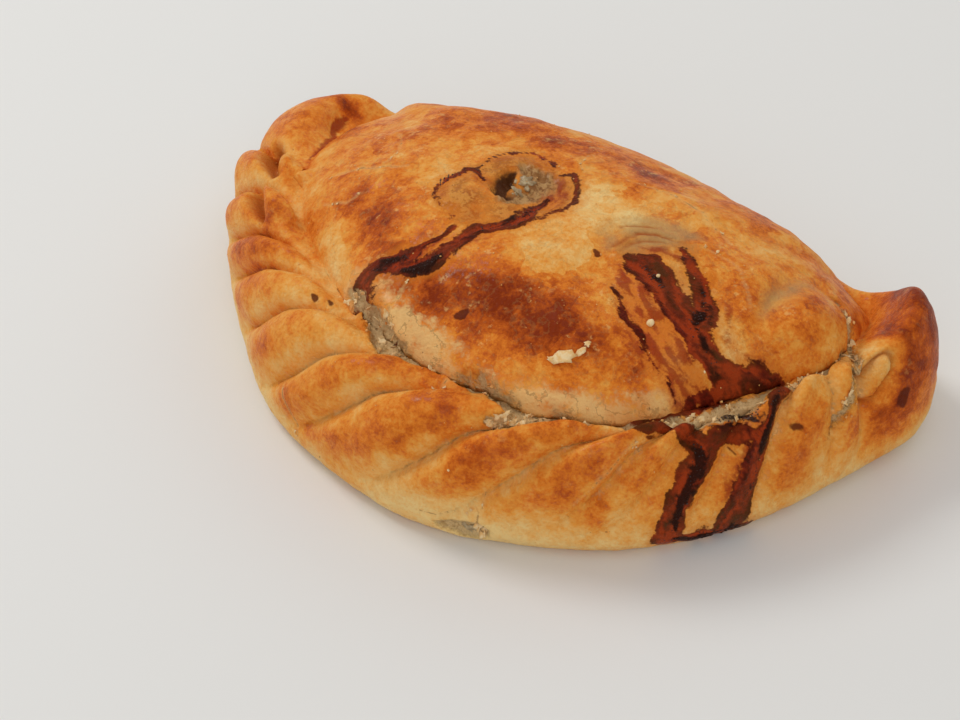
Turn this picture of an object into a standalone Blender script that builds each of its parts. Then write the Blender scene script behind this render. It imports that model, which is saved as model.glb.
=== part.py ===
"""A Cornish pasty in one solid: a domed crust, rope-crimped along its front, with an ear at each end.

The pasty lies on its flat base. +X runs along its length to the taller ear, -Y to the crimped
front and +Z up. The crust is one UV sphere whose points are laid on the pasty's own form: a
longitude becomes a station round the outline and a latitude a place down that station's profile.
"""

import math
from typing import NamedTuple

import bmesh
import bpy
import numpy as np

NAME = "pasty"
MM = 0.001

STATION_COUNT = 132          # longitudes round the outline
FINE_STEPS = 4               # finer stations between two longitudes
DOME_ROWS = 11               # latitudes from the crown to the seam
SIDE_ROWS = 20               # latitudes from the seam to the base
BASE_ROWS = 2                # latitudes from the base's edge to its middle

CROWN_HEIGHT = 45.0          # top of the dome above the plate, mm
ROPE_SIDE_FLATNESS = 2.6     # how flat the dome's top is towards the rope, as a power
FOLD_SIDE_FLATNESS = 3.0     # and towards the folded back
FOLD_BROW = 1.9              # how steeply the dome ends at the folded back
SEAM_SHARE_LIMIT = 0.93      # the farthest out that the seam may lie on the folded back, 0 to 1
SEAM_LOWEST = 17.0           # mm
CREST_LOWEST = 20.0          # mm
WIDTH_LEAST = 6.0            # a side is never taken as narrower than this, mm
ROW_CROWDING = 1.3           # how much the dome's rows close up towards the seam, as a power
RIM_SHARPNESS = 6            # how near the seam the dome takes on its own side's shape, as a power
UNDER_REACH = 0.3            # how far in the base runs before it turns to its middle, as a share
TWIST = 24.0                 # how far the rows turn back along the outline to follow the creases, mm
BLEND_REACH = 26.0           # how far along the outline rope side and fold side blend on the dome, mm
BROW_REACH = 13.0            # and how far the dome's steepness does
CRUST_COLOUR = (0.62, 0.33, 0.12, 1.0)
CRUST_ROUGHNESS = 0.45

LOBE_START, LOBE_FULL = 0.04, 0.38       # places down the side where the lobes rise
LOBE_FADE, LOBE_END = 0.50, 0.80         # and where they die out above the base
LOBE_TURN, LOBE_FOOT = 0.12, 0.62        # between these the creases run back along the outline
LOBE_HEIGHT = 1.25                       # the lobes' rise for each mm of their creases' depth
LOBE_LEAN = 0.82                         # how far each lobe's top leans to one side, as a power
LOBE_ROUNDNESS = 0.75                    # how full the lobes are, as a power
LOBE_SINK = 0.60                         # how far the creases sink below the plain rope, as a share


class Station(NamedTuple):
    """One place round the outline. Lengths are in mm, and crimp is 1 on the rope, 0 on the fold."""

    outer_x: float
    outer_y: float
    waist: float             # height of the widest point
    undercut: float          # how far the base lies inside the widest point
    seam_x: float
    seam_y: float
    seam_z: float            # bottom of the groove between dome and rope
    crest: float             # height of the rope's top
    crest_place: float       # where the top lies between seam and outer edge, 0 to 1
    brow: float              # how steeply the dome ends at the seam
    crimp: float


STATIONS = (
    Station(-78.5, 46.0, 15, 5.0, -65.0, 37.0, 20, 25, 0.52, 1.20, 1),      # left ear's tip
    Station(-87.0, 37.0, 15, 6.0, -67.5, 27.0, 24, 27, 0.45, 1.15, 1),
    Station(-89.0, 21.0, 15, 7.0, -67.0, 16.0, 26, 27, 0.42, 1.15, 1),
    Station(-84.0, 5.0, 13, 6.0, -63.0, 5.0, 27, 27, 0.38, 1.25, 1),
    Station(-74.5, -10.5, 10, 4.0, -55.0, -7.0, 27, 28, 0.36, 1.35, 1),
    Station(-59.5, -27.0, 9, 3.5, -43.0, -18.0, 27, 28, 0.36, 1.55, 1),
    Station(-42.0, -42.0, 8, 3.0, -29.5, -27.0, 27, 29, 0.36, 1.75, 1),
    Station(-20.5, -51.0, 8, 3.0, -14.0, -33.0, 27, 29, 0.38, 1.80, 1),
    Station(0.0, -55.0, 8, 3.0, 2.0, -35.6, 27, 29, 0.38, 1.80, 1),         # middle of the front
    Station(20.0, -51.5, 8, 3.0, 20.0, -36.7, 27, 29, 0.40, 1.80, 1),
    Station(41.0, -43.0, 8, 3.0, 36.0, -32.0, 27, 29, 0.42, 1.80, 1),
    Station(57.0, -29.5, 8, 3.0, 47.5, -22.0, 27, 29, 0.42, 1.80, 1),
    Station(68.5, -12.0, 8, 3.0, 58.0, -9.0, 27, 29, 0.42, 1.80, 1),
    Station(76.5, 5.0, 9, 3.5, 65.0, 5.0, 26, 28, 0.42, 1.70, 1),
    Station(82.5, 20.0, 11, 5.0, 67.0, 19.0, 24, 29, 0.60, 1.50, 1),
    Station(79.5, 34.0, 14, 6.0, 66.0, 29.0, 21, 31, 0.60, 1.30, 1),        # right ear's tip
    Station(69.0, 41.5, 13, 5.0, 60.0, 35.0, 18, 23, 0.55, 1.20, 0.85),
    Station(54.0, 46.5, 11, 4.0, 47.0, 38.0, 20, 20, 0.50, 1.60, 0.3),
    Station(30.0, 53.0, 9, 4.0, 28.0, 44.0, 17, 20, 0.50, 1.80, 0),
    Station(2.0, 58.0, 9, 4.0, 2.0, 46.5, 17, 20, 0.50, 1.80, 0),           # middle of the folded back
    Station(-28.0, 60.0, 9, 4.0, -26.0, 47.0, 17, 20, 0.50, 1.80, 0),
    Station(-50.0, 55.5, 10, 4.0, -45.0, 45.0, 22, 20, 0.50, 1.60, 0),
    Station(-65.0, 50.5, 12, 4.5, -56.0, 42.0, 21, 22, 0.50, 1.40, 0.35),
)


class Crease(NamedTuple):
    """A crease between two lobes of the rope, in mm along the outline from the left ear's tip."""

    at_groove: float
    at_foot: float
    depth: float


CREASES = (
    Crease(2.0, -4.0, 0.0),
    Crease(42.0, 30.0, 4.1),
    Crease(57.0, 48.0, 3.8),
    Crease(84.0, 62.0, 3.2),
    Crease(99.0, 75.0, 2.7),
    Crease(116.5, 92.5, 3.0),
    Crease(139.0, 112.0, 3.2),
    Crease(161.0, 128.0, 3.5),
    Crease(188.0, 152.0, 3.8),
    Crease(211.0, 172.0, 3.0),
    Crease(223.5, 192.0, 2.2),
    Crease(236.0, 213.0, 2.0),
    Crease(249.0, 232.0, 2.4),
    Crease(264.0, 258.0, 2.6),
    Crease(312.0, 322.0, 0.0),
)


class Swelling(NamedTuple):
    """A bulge of the dome, or a dent where the depth is negative. All in mm."""

    x: float
    y: float
    radius: float
    height: float


SWELLINGS = (
    Swelling(60.0, 9.5, 7.0, 3.2),           # filling that pushes up by the right ear
    Swelling(-6.0, 8.0, 6.0, -1.5),          # the vent where steam broke out near the middle
    Swelling(27.5, 3.5, 6.0, 0.9),           # the blister on its right, which stayed shut
)


def smooth_step(value, low, high):
    """Return 0 below low, 1 above high and a smooth rise between them."""
    share = np.clip((value - low) / (high - low), 0.0, 1.0)
    return share * share * (3.0 - 2.0 * share)


def catmull_rom(before, start, end, after, share):
    """Return the Catmull-Rom curve from start to end at the given share of the way."""
    slope = end - before
    bend = 2.0 * before - 5.0 * start + 4.0 * end - after
    twist = 3.0 * start - before - 3.0 * end + after
    return 0.5 * (2.0 * start + slope * share + bend * share**2 + twist * share**3)


def around(rows, turns):
    """Read a closed ring of rows as a smooth curve at each of the turns, in rows from the first."""
    whole = np.floor(turns).astype(int)
    share = (turns - whole)[:, None]
    ring = [rows[(whole + step) % len(rows)] for step in (-1, 0, 1, 2)]
    return catmull_rom(*ring, share)


def even_stations(count):
    """Return count stations spaced evenly along the outline, and each one's distance in mm."""
    rows = np.array(STATIONS, dtype=float)
    turns = np.linspace(0.0, len(rows), 4001)
    plan = around(rows[:, :2], turns)
    steps = np.hypot(*np.diff(plan, axis=0).T)
    travelled = np.concatenate([[0.0], np.cumsum(steps)])
    distance = np.arange(count) / count * travelled[-1]
    return around(rows, np.interp(distance, travelled, turns)), distance


def soften(values, spacing, reach):
    """Return a closed ring of values averaged over the reach either way, twice over."""
    half = int(round(reach / spacing))
    for _ in range(2):
        values = np.mean([np.roll(values, step) for step in range(-half, half + 1)], axis=0)
    return values


def side_points(crimped, waist, tuck, seam, crest, crest_place):
    """Return a side profile's control points: how far out, 0 at the seam to 1, and how high.

    Args:
        crimped: whether this is the rope, or the plain folded side.
        waist, tuck: height of the widest point, and the base's place across.
        seam, crest, crest_place: height of the groove, height and place of the rope's top.
    """
    one = np.ones_like(waist)
    if crimped:
        rest = 1.0 - crest_place
        return [
            (0.0 * one, seam),
            (0.4 * crest_place, seam + 0.45 * (crest - seam)),
            (crest_place, crest),
            (crest_place + 0.45 * rest, 0.90 * crest),
            (crest_place + 0.85 * rest, waist + 0.42 * (crest - waist)),
            (one, waist),
            (0.97 + 0.03 * tuck, 0.4 * waist),
            (tuck, 0.0 * one),
        ]
    return [
        (0.0 * one, seam),
        (0.25 * one, 0.87 * seam),
        (0.50 * one, 0.72 * seam),
        (0.74 * one, 0.53 * seam),
        (0.92 * one, 0.33 * seam),
        (one, 0.7 * waist),
        (0.96 + 0.04 * tuck, 0.3 * waist),
        (tuck, 0.0 * one),
    ]


def fold_height(places):
    """Return the folded back's height at places 0 (crown) to 1 (outer edge) out from the middle."""
    return CROWN_HEIGHT * (1.0 - places**FOLD_SIDE_FLATNESS) ** (1.0 / FOLD_BROW)


def dome_height(places, rho, seam, brow, crimp):
    """Return the dome's height at places 0 (crown) to 1 (seam) out along each station.

    Args:
        places: how far out, 0 to 1.
        rho: where the seam lies between the middle and the outer edge.
        seam, brow: the seam's height, and how steeply the dome ends there on the rope's side.
        crimp: 1 on the rope's side, 0 on the folded back.
    """
    rope_side = seam + (CROWN_HEIGHT - seam) * (1.0 - places**ROPE_SIDE_FLATNESS) ** (1.0 / brow)
    return crimp * rope_side + (1.0 - crimp) * fold_height(places * rho)


def lay_out():
    """Return the crust's points in mm as a grid of stations by rows, crown to the base's middle."""
    stations, distance = even_stations(STATION_COUNT * FINE_STEPS)
    outer_x, outer_y, waist, undercut, seam_x, seam_y = stations.T[:6]
    seam_z, crest, crest_place, brow, crimp = stations.T[6:]
    crimp = smooth_step(crimp, 0.0, 1.0)
    width = np.hypot(outer_x - seam_x, outer_y - seam_y)
    rho = np.minimum(np.hypot(seam_x, seam_y) / np.hypot(outer_x, outer_y), SEAM_SHARE_LIMIT)
    seam = crimp * np.maximum(seam_z, SEAM_LOWEST) + (1.0 - crimp) * fold_height(rho)
    crest = np.maximum(crest, CREST_LOWEST)
    tuck = 1.0 - undercut / np.maximum(width, WIDTH_LEAST)

    # The dome, with its rows closing up towards the seam.
    places = 1.0 - (1.0 - np.linspace(0.0, 1.0, DOME_ROWS + 1)) ** ROW_CROWDING
    broad_crimp = soften(crimp, distance[1], BLEND_REACH)
    brow = soften(brow, distance[1], BROW_REACH)
    rim = places[None, :] ** RIM_SHARPNESS
    share = crimp[:, None] * rim + broad_crimp[:, None] * (1.0 - rim)
    heights = dome_height(places[None, :], rho[:, None], seam[:, None], brow[:, None], share)
    dome = np.stack([np.outer(seam_x, places), np.outer(seam_y, places), heights], axis=-1)
    for swell in SWELLINGS:
        reach = np.hypot(dome[..., 0] - swell.x, dome[..., 1] - swell.y) / swell.radius
        dome[..., 2] += swell.height * np.exp(-(reach**2))

    # The side, read as one smooth profile through its control points.
    rope = side_points(True, waist, tuck, seam, crest, crest_place)
    fold = side_points(False, waist, tuck, seam, crest, crest_place)
    knots = np.array([[crimp * a + (1.0 - crimp) * b for a, b in zip(r, f)] for r, f in zip(rope, fold)])
    step_in = (places[-2] - 1.0) * np.hypot(seam_x, seam_y) / np.maximum(width, WIDTH_LEAST)
    inner = np.stack([step_in, dome[:, -2, 2]])
    under = np.stack([tuck - UNDER_REACH, 0.0 * tuck])
    knots = np.concatenate([inner[None], knots, under[None]])
    travel = np.linspace(0.0, len(rope) - 1, SIDE_ROWS + 1)[1:]
    whole = np.minimum(np.floor(travel).astype(int), len(rope) - 2)
    share = (travel - whole)[:, None, None]
    profile = catmull_rom(knots[whole], knots[whole + 1], knots[whole + 2], knots[whole + 3], share)
    across, height = profile[:, 0].T, np.maximum(profile[:, 1].T, 0.0)
    side = np.stack([
        seam_x[:, None] + (outer_x - seam_x)[:, None] * across,
        seam_y[:, None] + (outer_y - seam_y)[:, None] * across,
        height,
    ], axis=-1)
    down = travel / (len(rope) - 1)
    side += crimp[:, None, None] * lobes(side, distance, down)

    # Each row of the side is turned a little further, so that edges run down the creases.
    picks = np.arange(STATION_COUNT) * FINE_STEPS
    dome = dome[picks]
    run = np.clip((down - LOBE_TURN) / (LOBE_FOOT - LOBE_TURN), 0.0, 1.0)
    turns = np.round(-TWIST * run / distance[1]).astype(int)
    side = side[(picks[:, None] + turns[None, :]) % len(distance), np.arange(SIDE_ROWS)[None, :]]

    # The flat base, drawn in to its middle.
    inward = 1.0 - np.linspace(0.0, 1.0, BASE_ROWS + 1)[1:]
    base = side[:, -1:, :] * inward[None, :, None] * np.array([1.0, 1.0, 0.0])
    return np.concatenate([dome, side, base], axis=1)


def lobes(side, distance, down):
    """Return how far each point of the rope moves, in mm, to make its twisted lobes.

    Args:
        side: the plain rope's points, stations by rows.
        distance: each station's distance along the outline.
        down: each row's place down the side, 0 at the groove to 1 at the base.
    """
    along = np.roll(side, -1, axis=0) - np.roll(side, 1, axis=0)
    facing = np.cross(np.gradient(side, axis=1), along)
    facing /= np.maximum(np.linalg.norm(facing, axis=-1, keepdims=True), 1e-9)
    window = smooth_step(down, LOBE_START, LOBE_FULL) * (1.0 - smooth_step(down, LOBE_FADE, LOBE_END))
    swell = np.zeros(side.shape[:2])
    run = np.maximum((down - LOBE_TURN) / (LOBE_FOOT - LOBE_TURN), 0.0)
    for near, far in zip(CREASES, CREASES[1:]):
        start = near.at_groove + (near.at_foot - near.at_groove) * run
        end = far.at_groove + (far.at_foot - far.at_groove) * run
        share = (distance[:, None] - start) / (end - start)
        inside = (share > 0.0) & (share < 1.0)
        share = np.clip(share, 0.0, 1.0)
        depth = near.depth + (far.depth - near.depth) * share
        rise = LOBE_HEIGHT * depth * (np.sin(math.pi * share**LOBE_LEAN) ** LOBE_ROUNDNESS - LOBE_SINK)
        swell = np.where(inside, rise, swell)
    return facing * (swell * window)[..., None]


def crust_mesh():
    """Return the crust's mesh: a UV sphere laid on the pasty's form, its base centred on the origin."""
    points = lay_out()
    rows = points.shape[1] - 1
    low = points.reshape(-1, 3).min(axis=0)
    high = points.reshape(-1, 3).max(axis=0)
    points -= [(low[0] + high[0]) / 2.0, (low[1] + high[1]) / 2.0, 0.0]
    shell = bmesh.new()
    bmesh.ops.create_uvsphere(shell, u_segments=STATION_COUNT, v_segments=rows, radius=1.0)
    for vert in shell.verts:
        turn = math.atan2(vert.co.y, vert.co.x) / math.tau
        station = round(turn * STATION_COUNT) % STATION_COUNT
        row = round(math.acos(max(-1.0, min(1.0, vert.co.z))) / math.pi * rows)
        vert.co = points[station, row] * MM
    mesh = bpy.data.meshes.new(NAME)
    shell.to_mesh(mesh)
    shell.free()
    mesh.shade_smooth()
    return mesh


def crust_material():
    """Return the baked crust's plain material."""
    material = bpy.data.materials.new("crust")
    material.use_nodes = True
    surface = material.node_tree.nodes["Principled BSDF"]
    surface.inputs["Base Color"].default_value = CRUST_COLOUR
    surface.inputs["Roughness"].default_value = CRUST_ROUGHNESS
    surface.inputs["Metallic"].default_value = 0.0
    return material


def main():
    """Build the pasty in a collection of its own."""
    for thing in list(bpy.data.objects):
        bpy.data.objects.remove(thing, do_unlink=True)
    collection = bpy.data.collections.new("cornish_pasty")
    bpy.context.scene.collection.children.link(collection)
    mesh = crust_mesh()
    mesh.materials.append(crust_material())
    collection.objects.link(bpy.data.objects.new(NAME, mesh))


if __name__ == "__main__":
    main()
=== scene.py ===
"""The Cornish pasty's looks: the fine crust, its browning and juice stains, and the crumbs on it.

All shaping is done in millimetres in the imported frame's axes and turned into metres at the end.
"""

from __future__ import annotations

import logging
import math
import random
from dataclasses import dataclass, field
from enum import Enum
from typing import NamedTuple, Sequence

import bmesh
import bpy
import numpy as np
from mathutils import Matrix, Vector, noise


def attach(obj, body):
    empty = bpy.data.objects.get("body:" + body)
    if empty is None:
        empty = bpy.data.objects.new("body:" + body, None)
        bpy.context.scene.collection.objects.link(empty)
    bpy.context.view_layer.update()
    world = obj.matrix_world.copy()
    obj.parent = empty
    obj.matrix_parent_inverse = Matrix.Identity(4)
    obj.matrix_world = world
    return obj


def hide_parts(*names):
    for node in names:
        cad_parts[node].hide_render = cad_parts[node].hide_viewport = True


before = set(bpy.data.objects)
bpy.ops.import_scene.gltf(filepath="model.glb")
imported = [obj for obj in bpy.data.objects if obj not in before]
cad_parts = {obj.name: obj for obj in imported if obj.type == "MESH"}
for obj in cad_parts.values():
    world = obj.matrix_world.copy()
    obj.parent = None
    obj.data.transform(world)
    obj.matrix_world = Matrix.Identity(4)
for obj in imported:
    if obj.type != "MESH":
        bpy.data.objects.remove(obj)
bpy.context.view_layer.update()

MM = 0.001
ROOT = "root"

# The plain form. Lengths are in mm, and the rest are shares or powers.
PLAN_CENTRE = (-3.34, 2.47)      # the outline's own centre, moved onto the frame's origin
CROWN_HEIGHT = 45.0
LEAST_SEAM = 17.0                # how low the groove, the rope's top and the side's width may go
LEAST_CREST = 20.0
LEAST_WIDTH = 6.0
BLEND_REACH = 26.0               # how far the rope's dome and the fold's run into each other
OUTLINE_SAMPLES = 4001
FOLD_PLAN_POWER = 3.0            # these two round the dome where it runs over the plain fold
FOLD_HEIGHT_POWER = 1.9
FOLD_SEAM_MOST = 0.93            # how far out on that curve its seam may lie
ROPE_DOME_POWER = 2.6            # how full the dome is where it ends at the rope
ROW_CROWDING = 1.3               # draws the dome's rows together towards its rim
RIM_POWER = 6                    # keeps the rope's own shape of dome close to the rim
TUCK_RUN = 0.3                   # how far under the pasty the side's curve aims

# The rope's lobes, as shares of the way from the groove to the foot.
LOBE_START, LOBE_FULL = 0.04, 0.38
LOBE_FADE, LOBE_END = 0.50, 0.80
LOBE_TURN, LOBE_FOOT = 0.12, 0.62       # the creases run back along the outline between these
LOBE_RUN_MOST = 1.4
LOBE_RISE = 1.6                  # a lobe's height for each mm of its creases' depth
LOBE_LEAN = 0.82                 # how far its top leans to the left
LOBE_FULLNESS = 0.56
LOBE_SINK = 0.66                 # how much of its height lies below the plain form
CREASE_REACH = 1.25              # mm
CREASE_DEPTH_MOST = 3.0          # mm

STROKE_STEPS = 4                 # straight pieces between two points of a stroke
FAR_OUTSIDE = -99.0              # what a place reads before any stroke is near it, mm

log = logging.getLogger("pasty")


# ---------------------------------------------------------------- the form


class Station(NamedTuple):
    """One place round the outline. Lengths are in mm, and crimp is 1 on the rope, 0 on the fold."""

    outer_x: float
    outer_y: float
    waist: float             # height of the widest point
    undercut: float          # how far in the base lies from it
    seam_x: float
    seam_y: float
    seam_z: float
    crest: float             # height of the rope's top
    crest_place: float       # its share of the way from the seam outwards
    brow: float              # how steeply the dome ends at the seam
    crimp: float


STATIONS = (
    Station(-78.5, 46.0, 15, 5.0, -65.0, 37.0, 20, 25, 0.52, 1.20, 1),
    Station(-87.0, 37.0, 15, 6.0, -67.5, 27.0, 24, 27, 0.45, 1.15, 1),
    Station(-89.0, 21.0, 15, 7.0, -67.0, 16.0, 26, 27, 0.42, 1.15, 1),
    Station(-84.0, 5.0, 13, 6.0, -63.0, 5.0, 27, 27, 0.38, 1.25, 1),
    Station(-74.5, -10.5, 10, 4.0, -55.0, -7.0, 27, 28, 0.36, 1.35, 1),
    Station(-59.5, -27.0, 9, 3.5, -43.0, -18.0, 27, 28, 0.36, 1.55, 1),
    Station(-42.0, -42.0, 8, 3.0, -29.5, -27.0, 27, 29, 0.36, 1.75, 1),
    Station(-20.5, -51.0, 8, 3.0, -14.0, -33.0, 27, 29, 0.38, 1.80, 1),
    Station(0.0, -55.0, 8, 3.0, 2.0, -35.6, 27, 29, 0.38, 1.80, 1),
    Station(20.0, -51.5, 8, 3.0, 20.0, -36.7, 27, 29, 0.40, 1.80, 1),
    Station(41.0, -43.0, 8, 3.0, 36.0, -32.0, 27, 29, 0.42, 1.80, 1),
    Station(57.0, -29.5, 8, 3.0, 47.5, -22.0, 27, 29, 0.42, 1.80, 1),
    Station(68.5, -12.0, 8, 3.0, 58.0, -9.0, 27, 29, 0.42, 1.80, 1),
    Station(76.5, 5.0, 9, 3.5, 65.0, 5.0, 26, 28, 0.42, 1.70, 1),
    Station(82.5, 20.0, 11, 5.0, 67.0, 19.0, 24, 29, 0.60, 1.50, 1),
    Station(79.5, 34.0, 14, 6.0, 66.0, 29.0, 21, 31, 0.60, 1.30, 1),
    Station(69.0, 41.5, 13, 5.0, 60.0, 35.0, 18, 23, 0.55, 1.20, 0.85),
    Station(54.0, 46.5, 11, 4.0, 47.0, 38.0, 20, 20, 0.50, 1.60, 0.3),
    Station(30.0, 53.0, 9, 4.0, 28.0, 44.0, 17, 20, 0.50, 1.80, 0),
    Station(2.0, 58.0, 9, 4.0, 2.0, 46.5, 17, 20, 0.50, 1.80, 0),
    Station(-28.0, 60.0, 9, 4.0, -26.0, 47.0, 17, 20, 0.50, 1.80, 0),
    Station(-50.0, 55.5, 10, 4.0, -45.0, 45.0, 22, 20, 0.50, 1.60, 0.0),
    Station(-65.0, 50.5, 12, 4.5, -56.0, 42.0, 21, 22, 0.50, 1.40, 0.35),
)


class Crease(NamedTuple):
    """A crease between two lobes of the rope, in mm along the outline from the left ear's tip."""

    at_groove: float
    at_foot: float
    depth: float


CREASES = (
    Crease(2.0, -4.0, 0.0),
    Crease(42.0, 30.0, 4.1),
    Crease(57.0, 48.0, 3.8),
    Crease(84.0, 62.0, 3.2),
    Crease(99.0, 75.0, 2.7),
    Crease(116.5, 92.5, 3.0),
    Crease(139.0, 112.0, 3.2),
    Crease(161.0, 128.0, 3.5),
    Crease(188.0, 152.0, 3.8),
    Crease(211.0, 172.0, 3.0),
    Crease(223.5, 192.0, 2.2),
    Crease(231.0, 203.0, 1.6),
    Crease(240.0, 218.0, 1.8),
    Crease(249.0, 232.0, 2.7),
    Crease(256.0, 250.0, 1.6),
    Crease(264.0, 258.0, 3.0),
    Crease(312.0, 322.0, 0.0),
)


def smooth_step(value: np.ndarray, low: float, high: float) -> np.ndarray:
    """Return 0 below low, 1 above high and a smooth rise between them."""
    share = np.clip((value - low) / (high - low), 0.0, 1.0)
    return share * share * (3.0 - 2.0 * share)


def bell(value: np.ndarray, middle: float, reach: float) -> np.ndarray:
    """Return 1 at the middle, fading to nothing over a few times the reach."""
    return np.exp(-(((value - middle) / reach) ** 2))


def fold_height(reach: np.ndarray) -> np.ndarray:
    """Return the dome's height over the plain fold, at shares of the way out from its crown."""
    return CROWN_HEIGHT * (1.0 - reach**FOLD_PLAN_POWER) ** (1.0 / FOLD_HEIGHT_POWER)


def catmull_rom(before: np.ndarray, start: np.ndarray, end: np.ndarray, after: np.ndarray,
                share: np.ndarray) -> np.ndarray:
    """Return a smooth curve through knots.

    Args:
        before, start, end, after: four knots, of which the curve joins the middle two.
        share: how far along from start to end.

    Returns:
        The curve's place at that share.
    """
    slope = end - before
    bend = 2.0 * before - 5.0 * start + 4.0 * end - after
    twist = 3.0 * start - before - 3.0 * end + after
    return 0.5 * (2.0 * start + slope * share + bend * share**2 + twist * share**3)


def around(rows: np.ndarray, turns: np.ndarray) -> np.ndarray:
    """Read a closed ring of rows as a smooth curve.

    Args:
        rows: the ring.
        turns: how far round to read it, in rows from the first.

    Returns:
        One row for each of the turns.
    """
    whole = np.floor(turns).astype(int)
    share = (turns - whole)[:, None]
    ring = [rows[(whole + step) % len(rows)] for step in (-1, 0, 1, 2)]
    return catmull_rom(*ring, share)


def soften(values: np.ndarray, spacing: float, reach: float) -> np.ndarray:
    """Even out a closed ring of values by averaging twice.

    Args:
        values: the ring.
        spacing: how far apart its values lie, in mm.
        reach: how far either way each average goes, in mm.

    Returns:
        The softened ring.
    """
    half = int(round(reach / spacing))
    for _ in range(2):
        values = np.mean([np.roll(values, step) for step in range(-half, half + 1)], axis=0)
    return values


def facing_of(points: np.ndarray) -> np.ndarray:
    """Find the way that a surface faces.

    Args:
        points: a grid that is closed along its first axis, with the crown in its first row.

    Returns:
        The unit normals.
    """
    along = np.roll(points, -1, axis=0) - np.roll(points, 1, axis=0)
    facing = np.cross(np.gradient(points, axis=1), along)
    facing /= np.maximum(np.linalg.norm(facing, axis=-1, keepdims=True), 1e-9)
    facing[:, 0] = (0.0, 0.0, 1.0)
    return facing


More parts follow.
